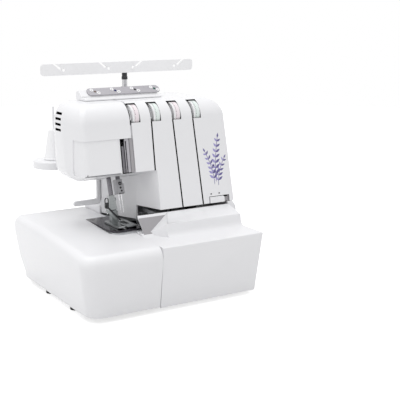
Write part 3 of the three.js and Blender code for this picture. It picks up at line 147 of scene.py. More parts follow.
def rectangle(low_u, low_v, high_u, high_v, radius=0):
    """Four corners of one radius, for an outline."""
    return [(low_u, low_v, radius), (high_u, low_v, radius), (high_u, high_v, radius),
            (low_u, high_v, radius)]


print("outlines can stand across", ", ".join(AXES))

# %% [markdown]
# ## Lofts
# A casing that leans and narrows as it rises has no single outline to pull. So its outline is drawn
# at several heights, with the same number of corners each time, and the rings are bridged one to
# the next. Only the lowest and the highest face stay, as the two lids.

# %% Lofts
def lofted(levels, segments=6):
    """Outlines of equal corner count, one above the other, bridged into a solid."""
    bm = bmesh.new()
    faces = [outline(bm, corners, "Z", level, segments) for level, corners in levels]
    rings = [list(face.edges) for face in faces]
    bmesh.ops.delete(bm, geom=faces[1:-1], context="FACES_ONLY")
    for lower, upper in zip(rings, rings[1:]):
        bmesh.ops.bridge_loops(bm, edges=lower + upper)
    bmesh.ops.recalc_face_normals(bm, faces=bm.faces)
    return bm


sample = lofted([(0, [(0, 0), (1, 0), (0, 1)]), (1, [(0, 0), (1, 0), (0, 1)])])
print("a three-cornered loft has", len(sample.faces), "faces")
sample.free()

# %% [markdown]
# ## Boxes and turned parts
# Bars, wheels, screws and cones are turned on a lathe in real life, and spin does the same here:
# half a profile goes round its axis once. A profile point with radius 0 closes an end to a pole.
# Plain boxes start from a cube that one matrix stretches between two corners.

# %% Boxes and turned parts
def block(low, high, bm=None):
    """A box between two corners, grown from a unit cube."""
    bm = bm or bmesh.new()
    low, high = Vector(low), Vector(high)
    size = high - low
    place = Matrix.Translation((low + high) / 2) @ Matrix.Diagonal((*size, 1))
    bmesh.ops.create_cube(bm, size=1, matrix=place)
    return bm


TURNS = {
    "X": Matrix.Rotation(math.pi / 2, 4, "Y"),
    "Y": Matrix.Rotation(-math.pi / 2, 4, "X"),
    "Z": Matrix.Identity(4),
}


def turned(profile, axis, centre, steps=48, bm=None):
    """A profile of (radius, height) points spun round an axis; radius 0 closes an end."""
    bm = bm or bmesh.new()
    place = Matrix.Translation(centre) @ TURNS[axis]
    verts = [bm.verts.new(place @ Vector((radius, 0, height))) for radius, height in profile]
    edges = [bm.edges.new(pair) for pair in zip(verts, verts[1:])]
    bmesh.ops.spin(
        bm, geom=verts + edges, cent=centre, axis=(place.to_3x3() @ Vector((0, 0, 1))),
        angle=2 * math.pi, steps=steps, use_merge=True, use_duplicate=False,
    )
    bmesh.ops.remove_doubles(bm, verts=bm.verts, dist=2e-3)
    bmesh.ops.recalc_face_normals(bm, faces=bm.faces)
    return bm


def rod(radius, axis, centre, length, steps=32, rim=0.0, bm=None):
    """A round bar from its centre of one end along an axis, with a chamfered rim."""
    profile = [(0, 0), (radius - rim, 0), (radius, rim), (radius, length - rim),
               (radius - rim, length), (0, length)]
    if rim == 0:
        profile = [(0, 0), (radius, 0), (radius, length), (0, length)]
    return turned(profile, axis, centre, steps, bm)


def rods_round(count, radius, ring, centre, length, steps, start=0.0):
    """Thin bars along X, set in a ring, that cut the grip of a wheel."""
    x, y, z = centre
    bars = bmesh.new()
    for index in range(count):
        angle = 2 * math.pi * (index + start) / count
        spot = (x, y + ring * math.cos(angle), z + ring * math.sin(angle))
        rod(radius, "X", spot, length, steps, bm=bars)
    return bars


print("parts can be turned about", ", ".join(TURNS))

# %% [markdown]
# ## Joining and cutting
# Openings are cut with the Boolean modifier, which is then applied: a mould maker would cut them in
# the same way. The Manifold solver is chosen because it gives closed results from closed shapes.
# Faces that a cutter leaves behind can take a second material, so the painted shade in seams and
# openings comes with the cut.

# %% Join and cut
scratch = bpy.data.collections.new("scratch")
bpy.context.scene.collection.children.link(scratch)
pieces = {}


def as_object(bm, name="tool", second=False):
    """A bmesh as an object on the drawing; second marks its faces for the second material."""
    if not isinstance(bm, bmesh.types.BMesh):
        return bm
    mesh = bpy.data.meshes.new(name)
    if second:
        for face in bm.faces:
            face.material_index = 1
    bm.to_mesh(mesh)
    bm.free()
    made = bpy.data.objects.new(name, mesh)
    for slot in range(2):
        mesh.materials.append(None)
    scratch.objects.link(made)
    return made


def combine(target, tools, operation="DIFFERENCE"):
    """Applies one Boolean per tool and clears the tools away."""
    target, *tools = [as_object(shape) for shape in (target, *tools)]
    for tool in tools:
        step = target.modifiers.new("shape", "BOOLEAN")
        step.operation = operation
        step.solver = "MANIFOLD"
        step.object = tool
    shaped = target.evaluated_get(bpy.context.evaluated_depsgraph_get())
    mesh = bpy.data.meshes.new_from_object(shaped)
    target.modifiers.clear()
    target.data = mesh
    for tool in tools:
        bpy.data.objects.remove(tool)
    return target


print("shapes wait in the collection", scratch.name)

# %% [markdown]
# ## Finishing a piece
# A finished piece is in metres, rides on its CAD body and carries its materials. Real mouldings
# have no knife edges, so a Bevel modifier softens whatever is sharper than a limit, and the rest is
# shaded smooth. Lathe shapes and lofts that already have their roundings only get weighted normals.

# %% Finish a piece
SHARP_ANGLE, BEVEL_ANGLE = math.radians(32), math.radians(38)
FLAT_ENOUGH = math.radians(0.3)


def finish(made, name, body, slot, looks, stands_for=(), edge=0.35):
    """Places a piece, softens and shades it, and hands it to its body."""
    made = as_object(made, name)
    mesh = made.data
    mesh.transform(DRAWING)
    tidy = bmesh.new()
    tidy.from_mesh(mesh)
    bmesh.ops.remove_doubles(tidy, verts=tidy.verts, dist=2e-6)
    bmesh.ops.dissolve_degenerate(tidy, edges=tidy.edges, dist=1e-6)
    bmesh.ops.dissolve_limit(
        tidy, angle_limit=FLAT_ENOUGH, verts=tidy.verts, edges=tidy.edges,
        use_dissolve_boundaries=False, delimit={"MATERIAL"},
    )
    tidy.to_mesh(mesh)
    tidy.free()
    mesh.name = made.name = name
    kinds = [face.material_index for face in mesh.polygons]
    mesh.materials.clear()
    for look in looks:
        mesh.materials.append(look)
    mesh.polygons.foreach_set("material_index", [min(kind, len(looks) - 1) for kind in kinds])
    mesh.shade_smooth()
    mesh.set_sharp_from_angle(angle=SHARP_ANGLE)
    if edge > 0:
        soft = made.modifiers.new("soft edges", "BEVEL")
        soft.width = edge / 1000
        soft.segments = 2
        soft.limit_method = "ANGLE"
        soft.angle_limit = BEVEL_ANGLE
        soft.miter_outer = "MITER_ARC"
        soft.use_clamp_overlap = False
        soft.harden_normals = True
    else:
        even = made.modifiers.new("even shading", "WEIGHTED_NORMAL")
        even.keep_sharp = True
    scratch.objects.unlink(made)
    bpy.context.scene.collection.objects.link(made)
    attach(made, body)
    if stands_for:
        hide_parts(*stands_for)
    pieces[name] = made
    print(f"{name}: {len(mesh.polygons)} faces on {body}")
    return made


print("edges sharper than", round(math.degrees(BEVEL_ANGLE)), "degrees get a bevel")

# %% [markdown]
# ## Grain of moulded plastic
# Two effects return on many surfaces, so each is a node group that is built once. Moulded grain is
# the fine spark texture that a plastic part takes from its mould, with a slow drift of tone. It
# could be an image, but noise on Object coordinates in metres has a real scale and no seams.

# %% Node group for moulded grain
def set_inputs(node, values):
    for label, value in values.items():
        node.inputs[label].default_value = value


def add_node(tree, kind, values=()):
    """A shader node with some of its inputs set."""
    node = tree.nodes.new(f"ShaderNode{kind}")
    set_inputs(node, dict(values))
    return node


def group_with(name, inputs, outputs):
    tree = bpy.data.node_groups.new(name, "ShaderNodeTree")
    for label, default in inputs:
        socket = tree.interface.new_socket(label, in_out="INPUT", socket_type="NodeSocketFloat")
        socket.default_value = default
    for label in outputs:
        tree.interface.new_socket(label, in_out="OUTPUT", socket_type="NodeSocketFloat")
    return tree, tree.nodes.new("NodeGroupInput"), tree.nodes.new("NodeGroupOutput")


def moulded_grain():
    tree, given, out = group_with(
        "moulded grain", [("Grain size", 1400.0), ("Drift size", 9.0)], ["Height", "Tone", "Drift"],
    )
    spot = add_node(tree, "TexCoord")
    fine = add_node(tree, "TexNoise", {"Detail": 2.0})
    middle = add_node(tree, "TexNoise", {"Detail": 4.0, "Scale": 160.0})
    slow = add_node(tree, "TexNoise", {"Detail": 3.0})
    link = tree.links.new
    link(given.outputs["Grain size"], fine.inputs["Scale"])
    link(given.outputs["Drift size"], slow.inputs["Scale"])
    for noise, use in ((fine, "Height"), (middle, "Tone"), (slow, "Drift")):
        link(spot.outputs["Object"], noise.inputs["Vector"])
        link(noise.outputs["Fac"], out.inputs[use])
    return tree


MOULDED = moulded_grain()
print("node group:", MOULDED.name)

# %% [markdown]
# ## Grain of brushed metal
# Rolled or ground metal shows long fine scratches. The same noise does it when the coordinates are
# stretched first: many turns per metre across the grain and few along it.

# %% Node group for brushed grain
def brushed_grain():
    tree, given, out = group_with(
        "brushed grain", [("Across", 2200.0), ("Along", 60.0)], ["Height", "Tone", "Drift"],
    )
    spot, scale = add_node(tree, "TexCoord"), add_node(tree, "CombineXYZ")
    stretch = add_node(tree, "VectorMath")
    stretch.operation = "MULTIPLY"
    scratch_noise = add_node(tree, "TexNoise", {"Scale": 1.0, "Detail": 3.0})
    slow = add_node(tree, "TexNoise", {"Scale": 35.0})
    link = tree.links.new
    link(given.outputs["Along"], scale.inputs["X"])
    link(given.outputs["Across"], scale.inputs["Y"])
    link(given.outputs["Across"], scale.inputs["Z"])
    link(spot.outputs["Object"], stretch.inputs[0])
    link(scale.outputs["Vector"], stretch.inputs[1])
    link(stretch.outputs["Vector"], scratch_noise.inputs["Vector"])
    link(spot.outputs["Object"], slow.inputs["Vector"])
    link(scratch_noise.outputs["Fac"], out.inputs["Height"])
    link(scratch_noise.outputs["Fac"], out.inputs["Tone"])
    link(slow.outputs["Fac"], out.inputs["Drift"])
    return tree


BRUSHED = brushed_grain()
print("node group:", BRUSHED.name)

# %% [markdown]
# ## One recipe for every finish
# Each finish is one Principled shader. Its colour drifts between two close tones, its roughness
# between two values, and its bump comes from the grain, because no real surface is quite even.
# Values that don't change over the surface stay on the shader's own sockets.

# %% The recipe
def look(name, light, dark, rough, grain, bump=0.1, depth=0.02, sizes=(), metal=0.0, coat=0.0,
         specular=0.5):
    """A finish whose colour, roughness and bump all come from one grain group."""
    made = bpy.data.materials.new(name)
    made.use_nodes = True
    tree = made.node_tree
    shader = tree.nodes["Principled BSDF"]
    set_inputs(shader, {
        "Metallic": metal, "Coat Weight": coat, "Coat Roughness": 0.12,
        "Specular IOR Level": specular,
    })
    surface = add_node(tree, "Group")
    surface.node_tree = grain
    set_inputs(surface, dict(sizes))
    tone = add_node(tree, "Mix")
    tone.data_type = "RGBA"
    tone.inputs["A"].default_value = (*dark, 1)
    tone.inputs["B"].default_value = (*light, 1)
    spread = add_node(tree, "MapRange", {
        "From Min": 0.3, "From Max": 0.7, "To Min": rough[0], "To Max": rough[1],
    })
    relief = add_node(tree, "Bump", {"Strength": bump, "Distance": depth / 1000})
    link = tree.links.new
    link(surface.outputs["Drift"], tone.inputs["Factor"])
    link(tone.outputs["Result"], shader.inputs["Base Color"])
    link(surface.outputs["Tone"], spread.inputs["Value"])
    link(spread.outputs["Result"], shader.inputs["Roughness"])
    link(surface.outputs["Height"], relief.inputs["Height"])
    link(relief.outputs["Normal"], shader.inputs["Normal"])
    return made


print("the recipe can take", MOULDED.name, "or", BRUSHED.name)

# %% [markdown]
# ## Plastics
# The casing is a glossy white ABS with a thin clear coat. Its mates are a matter white for the
# cones, a light grey trim, black plastic and rubber for the feet. A dull black paints the shade in
# seams, windows and hollows, and a grey paints the shade in the chute and in two recesses.

# %% Plastics
WHITE = look("white casing", (0.80, 0.80, 0.815), (0.775, 0.775, 0.795), (0.30, 0.38), MOULDED,
             bump=0.25, coat=0.15)
TRIM = look("light grey trim", (0.74, 0.745, 0.76), (0.71, 0.715, 0.735), (0.38, 0.46), MOULDED,
            bump=0.3)
CONE_WHITE = look("white cone plastic", (0.86, 0.86, 0.87), (0.83, 0.83, 0.845), (0.42, 0.5),
                  MOULDED, bump=0.2)
BLACK = look("black plastic", (0.022, 0.022, 0.025), (0.014, 0.014, 0.016), (0.42, 0.55), MOULDED,
             bump=0.35)
# Painted shade: this dull black stands for the shade inside seams, dial windows, openings and
# hollows.
SHADE_BLACK = look("painted shade black", (0.006, 0.006, 0.007), (0.004, 0.004, 0.005), (0.7, 0.85), MOULDED,
            bump=0.3, specular=0.2)
RUBBER = look("rubber", (0.02, 0.02, 0.021), (0.012, 0.012, 0.013), (0.75, 0.9), MOULDED,
              bump=0.5, depth=0.05, sizes=[("Grain size", 700.0)])
PINK = look("pale pink dial", (0.83, 0.755, 0.785), (0.80, 0.725, 0.76), (0.34, 0.42), MOULDED,
            bump=0.2)
GREEN = look("pale green dial", (0.75, 0.815, 0.79), (0.72, 0.785, 0.76), (0.34, 0.42), MOULDED,
             bump=0.2)
# Painted shade: this grey paints the shade in the chute, in the slider's recess and on the recess
# cheek.
GREY_SHADE = look("grey plastic and painted shade", (0.36, 0.35, 0.365), (0.32, 0.31, 0.325), (0.38, 0.48),
                  MOULDED, bump=0.3)
print("plastics made:", len(bpy.data.materials))

# %% [markdown]
# ## Metals
# Metal is told apart by its tone and its roughness: chrome is almost a mirror, ground steel has
# soft streaks, a casting is grainy and dull, and the needle plate is plated dark. Each reads the
# brushed grain except the casting.

# %% Metals
CAST = look("cast aluminium", (0.56, 0.57, 0.585), (0.46, 0.47, 0.485), (0.45, 0.62), MOULDED,
            bump=0.6, depth=0.12, sizes=[("Grain size", 480.0)], metal=0.85)
STEEL = look("ground steel", (0.56, 0.56, 0.57), (0.48, 0.48, 0.495), (0.22, 0.36), BRUSHED,
             bump=0.12, metal=1.0)
CHROME = look("chrome", (0.80, 0.80, 0.81), (0.74, 0.74, 0.76), (0.06, 0.12), BRUSHED,
              bump=0.04, metal=1.0)
PLATE = look("dark plated steel", (0.07, 0.065, 0.075), (0.045, 0.04, 0.05), (0.16, 0.28), BRUSHED,
             bump=0.06, metal=0.9)
GUIDE = look("satin guide steel", (0.44, 0.43, 0.455), (0.38, 0.37, 0.40), (0.36, 0.48), BRUSHED,
             bump=0.1, metal=0.5)
CLAMP_STEEL = look("satin clamp steel", (0.34, 0.34, 0.355), (0.26, 0.26, 0.275), (0.4, 0.52),
                   BRUSHED, bump=0.1, metal=0.6)
BAR_STEEL = look("dark bar steel", (0.20, 0.195, 0.21), (0.15, 0.145, 0.16), (0.24, 0.36), BRUSHED,
                 bump=0.08, metal=0.95)
FOOT_STEEL = look("presser foot steel", (0.36, 0.375, 0.375), (0.26, 0.275, 0.28), (0.26, 0.4),
                  BRUSHED, bump=0.1, metal=0.9)
print("plastics and metals:", len(bpy.data.materials))

# %% [markdown]
# ## Prints
# Ink lies flat and dry on the plastic. Black ink serves the numbers, two lavender tones the sprig,
# and four small dots tell the thread paths apart.

# %% Prints
INK = look("printed ink", (0.02, 0.02, 0.022), (0.014, 0.014, 0.016), (0.5, 0.6), MOULDED, bump=0.1)
LAVENDER = look("lavender print", (0.15, 0.13, 0.33), (0.10, 0.085, 0.24), (0.4, 0.5), MOULDED,
                bump=0.1, sizes=[("Drift size", 90.0)])
PALE_LAVENDER = look("pale lavender print", (0.38, 0.35, 0.62), (0.30, 0.27, 0.53), (0.4, 0.5),
                     MOULDED, bump=0.1, sizes=[("Drift size", 90.0)])
THREAD_DOTS = [
    look(f"{tint} dot", light, dark, (0.4, 0.5), MOULDED, bump=0.1, specular=0.15)
    for tint, light, dark in (
        ("umber", (0.17, 0.12, 0.10), (0.13, 0.09, 0.075)),
        ("navy", (0.02, 0.03, 0.12), (0.015, 0.02, 0.09)),
        ("black", (0.012, 0.012, 0.013), (0.008, 0.008, 0.009)),
        ("green", (0.01, 0.10, 0.07), (0.008, 0.07, 0.05)),
    )
]
print("materials", len(bpy.data.materials))

# %% [markdown]
# ## Extension table
# The table slides off to the left. It is one deep tray turned upside down: its top is level at the
# back and dips towards the front, its front leans, and its outer end tucks in below. It starts as
# the side outline, pulled from the seam to the left end. The corner posts are bevelled first, then
# the long top edge, then the smaller edge round the back, so that each bevel meets a finished one.

# %% Measures and bevels
SEAM_X = 1.0
TABLE_LEFT = SEAM_X - 121
TABLE_REAR = drawn_box("extension_table")[1].y
TABLE_CREASE = 155.0
LEDGE = BED - 10
TABLE_FOOT = drawn_box("extension_table")[0].z
SHELL = 2.6
CORNER_ANGLE = math.radians(25)


def sharp_edges(bm, chosen):
    """Edges that turn a real corner and whose two ends both satisfy a test."""
    return [
        edge for edge in bm.edges
        if len(edge.link_faces) == 2 and edge.calc_face_angle(0) > CORNER_ANGLE
        and all(chosen(vert.co) for vert in edge.verts)
    ]


def bevelled(bm, edges, radius, segments=8):
    bmesh.ops.bevel(
        bm, geom=edges, affect="EDGES", offset=radius, offset_type="OFFSET", segments=segments,
        profile=0.5, material=-1, clamp_overlap=False,
    )


print("the table reaches from", TABLE_LEFT, "to", SEAM_X, "mm")

# %% [markdown]
# ## Form of the table
# The same recipe gives the outside and, with an inset, the hollow, so the wall is even everywhere.
# The hollow runs on past the seam and the foot, because the real shell is open on both.

# %% Form of the table
def table_form(inset):
    foot = TABLE_FOOT if inset == 0 else TABLE_FOOT - 6
    left = TABLE_LEFT + inset
    right = SEAM_X - 0.6 if inset == 0 else SEAM_X + 6
    lip = FRONT_LIP + inset
    rear = TABLE_REAR - inset
    shoulder = LEDGE - 19.6
    bm = extruded([
        (lip + 10 * (shoulder - foot) / (shoulder - TABLE_FOOT), foot),
        (lip, shoulder, 60),
        (lip, LEDGE - inset * 1.1),
        (TABLE_CREASE, BED - inset),
        (rear, BED - inset),
        (rear, TABLE_FOOT + 34, 20),
        (rear - 14, foot, 12 if inset == 0 else 0),
    ], "X", right, left)
    bevelled(bm, sharp_edges(bm, lambda p: p.x < left + 1 and p.y < 6), 22 - inset)
    long_top = [
        edge for edge in sharp_edges(bm, lambda p: p.z > LEDGE - 6)
        if max(face.normal.z for face in edge.link_faces) > 0.9
        and min(abs(face.normal.z) for face in edge.link_faces) < 0.5
        and not all(vert.co.y > rear - 0.1 for vert in edge.verts)
        and not all(vert.co.x > right - 0.1 for vert in edge.verts)
    ]
    bevelled(bm, long_top, 14 - inset)
    back = [
        edge for edge in sharp_edges(bm, lambda p: p.y > rear - 15 and p.z > foot + 1)
        if not all(vert.co.x > right - 0.1 for vert in edge.verts)
        and max(abs(face.normal.y) for face in edge.link_faces) > 0.35
    ]
    bevelled(bm, back, 8 - inset, 5)
    draft_top = LEDGE - 14
    whole = list(bm.verts) + list(bm.edges) + list(bm.faces)
    bmesh.ops.bisect_plane(bm, geom=whole, plane_co=(0, 0, draft_top), plane_no=(0, 0, 1))
    for vert in bm.verts:
        if vert.co.x < left + 24 and vert.co.z < draft_top:
            vert.co.x += 12 * (draft_top - vert.co.z) / (draft_top - TABLE_FOOT)
    bmesh.ops.recalc_face_normals(bm, faces=bm.faces)
    return bm


table_outside = table_form(0)
print("table form:", len(table_outside.faces), "faces")

# %% [markdown]
# ## Hollow table with its seat
# The needle plate lies in the table's right edge, so the table leaves room for it with half a
# millimetre of play. The plate's outline is written once and grown for the cut.

# %% Build the extension table
PLATE_LEFT, PLATE_RIGHT = -36.0, 13.0
PLATE_FRONT, PLATE_REAR = 75.5, 169.0


def plate_corners(grow):
    left, right = PLATE_LEFT - grow, PLATE_RIGHT + grow
    front, rear = PLATE_FRONT - grow, PLATE_REAR + grow
    return [(left, front, 14), (right, front), (right, rear), (left, rear, 3)]


table = as_object(table_outside)
plate_seat = as_object(extruded(plate_corners(0.5), "Z", BED - 20, BED + 5))
plate_notch = as_object(block(
    (PLATE_RIGHT - 6, PLATE_FRONT - 0.5, BED - 20), (SEAM_X + 5.5, PLATE_REAR + 0.5, BED + 5),
))
combine(table, [table_form(SHELL), plate_seat, plate_notch])
finish(table, "table_moulding", "table", "casing", [WHITE], ["extension_table"])

# %% [markdown]
# ## Looper cover
# The looper cover fills the front right. It shifts a little to the right and folds down to bare the
# loopers. Its front leans, a ledge runs along it at table height, and a sloping top ends just under
# the body, with a scoop at its left end where the trimmings fall. Each stretch is a bent sheet: one
# outline that follows the outer path and comes back along the inner one. Solidify would do it too,
# but it could not change a corner's radius on the inside alone.

# %% Sheets and ends of the cover
COVER_LEFT, COVER_RIGHT = drawn_box("looper_cover")[0].x, SEAM_X + 171.6
COVER_FOOT = TABLE_FOOT - 1.4
WALL_Y, COVER_BACK = 42.0, 75.0
SHOULDER = 3.5
CHUTE_FRONT, CHUTE_REAR = COVER_LEFT + 35, COVER_LEFT + 56
CHUTE_SLOPE = (WALL_Y + 8, COVER_BACK)


def cover_path(inset, scooped):
    ledge = LEDGE - inset
    front = [(inset, COVER_FOOT), (FRONT_LIP + inset, ledge, 1.8 if inset == 0 else 0.6)]
    if scooped:
        return front + [
            (WALL_Y + 8 + inset * 0.6, ledge, 10), (COVER_BACK, COVER_TOP - inset * 1.3),
        ]
    return front + [
        (WALL_Y + inset, ledge, 10 - inset),
        (WALL_Y + inset, ledge + 19, 1.8 if inset == 0 else 0.6),
        (COVER_BACK, COVER_TOP - inset * 1.1),
    ]


def cover_sheet(scooped, start, end):
    corners = cover_path(0, scooped) + cover_path(SHELL, scooped)[::-1]
    return as_object(extruded(corners, "X", start, end, 5))


def cover_end(start, end, scooped=False):
    rim = 17.0
    corners = cover_path(0, scooped) + [
        (COVER_BACK, TABLE_FOOT + 38), (18.6, rim), (10, rim), (10, COVER_FOOT),
    ]
    return as_object(extruded(corners, "X", start, end, 5))


def cover_lean(offset, left):
    right = COVER_RIGHT - offset
    return as_object(extruded([
        (left, 0), (right - 8, 0), (right, LEDGE - 2 - offset), (right, LEDGE - offset),
        (right - SHOULDER, LEDGE - offset), (right - SHOULDER - 3, COVER_TOP + 1),
        (left, COVER_TOP + 1),
    ], "Y", COVER_BACK + 1, FRONT_LIP - 1))


print("the cover is", round(COVER_RIGHT - COVER_LEFT, 1), "mm long")

# %% [markdown]
# ## Join the stretches of the cover
# The scooped stretch at the left and the stepped one at the right meet in a slanting wall, the side
# of the chute. Each is cut back to that slant first and then joined. The far end is closed by a
# cheek, and the sloping shoulder there is one cut through everything.

# %% Join the stretches
def beside_chute(offset, right):
    """Everything on the right of the slanting edge of the chute, seen in plan."""
    return as_object(extruded([
        (CHUTE_FRONT + offset, -30), (right, -30), (right, COVER_BACK + 5),
        (CHUTE_REAR + 1.9 + offset, COVER_BACK + 5), (CHUTE_FRONT + offset, WALL_Y),
    ], "Z", 0, COVER_TOP + 5))


cover = combine(cover_sheet(True, COVER_LEFT, CHUTE_REAR + 12), [beside_chute(SHELL / 2, 90)])
chute_wall = combine(cover_end(CHUTE_FRONT - 1, CHUTE_REAR + 12), [beside_chute(0, 90)],
                     "INTERSECT")
combine(chute_wall, [
    beside_chute(SHELL, 90), block((0, -20, 0), (80, 90, LEDGE - 12)),
])
left_end = combine(cover_end(COVER_LEFT, COVER_LEFT + SHELL, True), [
    block((0, 34, 0), (6, 90, COVER_TOP + 2)),
])
main_sheet = combine(cover_sheet(False, CHUTE_FRONT - 1, COVER_RIGHT + 1),
                     [beside_chute(0, COVER_RIGHT + 5)], "INTERSECT")
combine(cover, [
    main_sheet, chute_wall, left_end,
    cover_end(COVER_RIGHT - SHOULDER - 6, COVER_RIGHT),
], "UNION")
combine(cover, [cover_lean(0, COVER_LEFT - 1)], "INTERSECT")
hollow = combine(cover_lean(SHELL, 100), [cover_end(90, COVER_RIGHT + 2)], "INTERSECT")
combine(hollow, [cover_sheet(False, 90, COVER_RIGHT + 2)])
plate_corner = as_object(extruded([
    (0, LEDGE + 4), (COVER_LEFT + 5, LEDGE + 4), (COVER_LEFT + 3.6, COVER_TOP + 1),
    (0, COVER_TOP + 1),
], "Y", COVER_BACK + 1, 55))
combine(cover, [hollow, plate_corner])
print("cover so far:", len(cover.data.polygons), "faces")

# %% [markdown]
# ## Flare and knuckles
# The wall of the chute swells into a flare towards the needle plate. It is the convex hull of a few
# corners, the quickest way to such a wedge. Two knuckles at the foot take the hinge pin.

# %% Build the looper cover
plate_side = as_object(extruded([
    (48, LEDGE - 3), (PLATE_FRONT - 0.6, LEDGE - 3), (PLATE_FRONT - 0.6, LEDGE + 7),
    (58, LEDGE + 5, 8), (48, LEDGE - 0.5),
], "X", COVER_LEFT, COVER_LEFT + 12))
flare = bmesh.new()
for corner in (
    (CHUTE_FRONT, WALL_Y, LEDGE + 19), (CHUTE_FRONT, WALL_Y, LEDGE - 1),
    (CHUTE_REAR, COVER_BACK, COVER_TOP), (COVER_LEFT + 15, 56, LEDGE + 7.2),
    (COVER_LEFT + 18, 53, LEDGE - 1),
    (CHUTE_FRONT + 2, WALL_Y + 0.5, LEDGE + 18), (CHUTE_FRONT + 2, WALL_Y + 0.5, LEDGE - 1),
    (CHUTE_REAR + 1.8, COVER_BACK, COVER_TOP - 1), (CHUTE_REAR + 1.8, COVER_BACK, COVER_TOP - 25),
):
    flare.verts.new(corner)
bmesh.ops.convex_hull(flare, input=flare.verts)
flare_shape = flare.copy()
combine(cover, [plate_side, flare], "UNION")
PIN_Y, PIN_Z = 8.0, drawn_box("cover_hinge_pin")[0].z + 2
knuckles = []
for start in (COVER_LEFT + 6, COVER_RIGHT - 24.2):
    knuckle = as_object(rod(4.5, "X", (start, PIN_Y, PIN_Z), 8, 24, 0.4))
    arm = as_object(block((start, 1.2, PIN_Z - 3.5), (start + 8, PIN_Y, PIN_Z + 4.5)))
    knuckles.append(combine(knuckle, [arm], "UNION"))
combine(cover, knuckles, "UNION")
combine(cover, [rod(2.3, "X", (COVER_LEFT + 3, PIN_Y, PIN_Z), 155.4, 24)])
finish(cover, "looper_cover_moulding", "cover", "casing", [WHITE], ["looper_cover"])

# %% [markdown]
# ## Chute lining
# The trimmings slide down the slope inside the chute. A thin grey sheet lies just above the cover's
# own slope, cut along the slanting wall and round the flare; its grey is partly the chute's own
# tone and partly painted shade.

# %% Build the chute lining
def chute_line(y):
    (low_y, high_y), rise = CHUTE_SLOPE, COVER_TOP - LEDGE
    return LEDGE + rise * (y - low_y) / (high_y - low_y)


low_y, high_y = WALL_Y + 12, COVER_BACK - 3.6
lining = as_object(extruded([
    (low_y, chute_line(low_y) + 0.05), (high_y, chute_line(high_y) + 0.05),
    (high_y, chute_line(high_y) + 0.7), (low_y, chute_line(low_y) + 0.7),
], "X", COVER_LEFT + 3.8, CHUTE_REAR + 2))
combine(lining, [beside_chute(-0.15, 90), flare_shape])
finish(lining, "chute_shade_sheet", "cover", "trim", [GREY_SHADE], edge=0)

# %% [markdown]
# ## Body casing
# The body is one leaning shell of upright panels that roll back over the top. Levels of the same
# outline are stacked, and over the top edge each level is drawn in along a quarter circle. A
# smaller copy of the form hollows it out.

# %% Forms of the body
WALL = 3.4
THROAT_X, CORNER_X = 46.0, 4.0
KINK_X, KINK_Y = 31.0, 127.0
DOME_STEPS = 12


def domed(start, inset, outline_at):
    """Levels from a start height up to the top, drawn in over the top edge."""
    top, radius = BODY_TOP - inset, TOP_RADIUS - inset
    levels = [(start, outline_at(start, 0))]
    for step in range(DOME_STEPS + 1):
        angle = math.pi / 2 * step / DOME_STEPS
        height = top - radius + radius * math.sin(angle)
        levels.append((height, outline_at(height, radius * (1 - math.cos(angle)))))
    return levels


def upper_body(inset, left, foot=HEAD_BOTTOM - 0.01):
    def outline_at(z, drawn):
        line, off = min(z, EDGE_Z), inset + drawn
        front, right = face_y(line) + off, side_x(line) - off
        return [(left, front), (right, front, 7), (right, BODY_SPLIT), (left, BODY_SPLIT)]
    return as_object(lofted(domed(foot, inset, outline_at)))


def lower_body(inset, drop=0.0):
    def outline_at(z):
        return [
            (THROAT_X + inset, face_y(z) + inset), (side_x(z) - inset, face_y(z) + inset, 7),
            (side_x(z) - inset, BODY_SPLIT), (CORNER_X + inset, BODY_SPLIT),
            (KINK_X + inset * 1.1, KINK_Y + inset * 0.3),
        ]
    top = HEAD_BOTTOM + WALL
    return as_object(lofted([
        (LOWER_EDGE - drop, outline_at(LOWER_EDGE)), (top - drop, outline_at(top)),
    ]))


print("walls", WALL, "mm, top edge in", DOME_STEPS, "steps")

# %% [markdown]
# ## Throat
# Cloth passes under the arm between the head and the body. That space is cut out of the body: its
# plan slants back to the left corner, and its ceiling slopes down like the head's underside.

# %% Throat and cutters that paint shade
def throat():
    """The space under the arm: its plan follows the wall, its ceiling slopes down to the back."""
    def outline_at(z):
        return [
            (THROAT_X, face_y(z) - 9), (THROAT_X, face_y(z)), (KINK_X, KINK_Y),
            (CORNER_X, BODY_SPLIT), (CORNER_X, BODY_SPLIT + 9), (BODY_LEFT - 9, BODY_SPLIT + 9),
            (BODY_LEFT - 9, face_y(z) - 9),
        ]
    plan = as_object(lofted([(z, outline_at(z)) for z in (LOWER_EDGE - 1, HEAD_BOTTOM + 1)]))
    ceiling = as_object(extruded([
        (0, LOWER_EDGE - 2), (0, HEAD_BOTTOM), (face_y(HEAD_BOTTOM), HEAD_BOTTOM),
        (130, HEAD_BOTTOM - 14), (BODY_SPLIT + 10, HEAD_BOTTOM - 14),
        (BODY_SPLIT + 10, LOWER_EDGE - 2),
    ], "X", BODY_LEFT - 10, THROAT_X + 5))
    return combine(plan, [ceiling], "INTERSECT")


def blacken(made, place=1):
    """Marks every face for another material, so that what it cuts turns out in that one, as painted
    shade.
    """
    for face in made.data.polygons:
        face.material_index = place
    return made


print("the throat is", round(THROAT_X - BODY_LEFT, 1), "mm wide")

# %% [markdown]
# ## Seams and dial windows
# A seam is a slab less a slightly smaller copy of the body, so its depth is even on the curved top
# too. A dial window is a wedge from the dial's axis, with room for the wheel behind it. Both leave
# black where they cut, as painted shade.

# %% Seams and dial windows
DIAL_X = [13.2 + 35 * index for index in range(4)]
DIAL_WIDTH, DIAL_RADIUS = 10.8, 19.0
WINDOW_FROM, WINDOW_TO = math.radians(2), math.radians(68)
WINDOW_MIDDLE = (WINDOW_FROM + WINDOW_TO) / 2
DIAL_OFFSET = TOP_RADIUS + 0.6 - DIAL_RADIUS
DIAL_Y = EDGE_Y - DIAL_OFFSET * math.cos(WINDOW_MIDDLE)
DIAL_Z = EDGE_Z + DIAL_OFFSET * math.sin(WINDOW_MIDDLE)


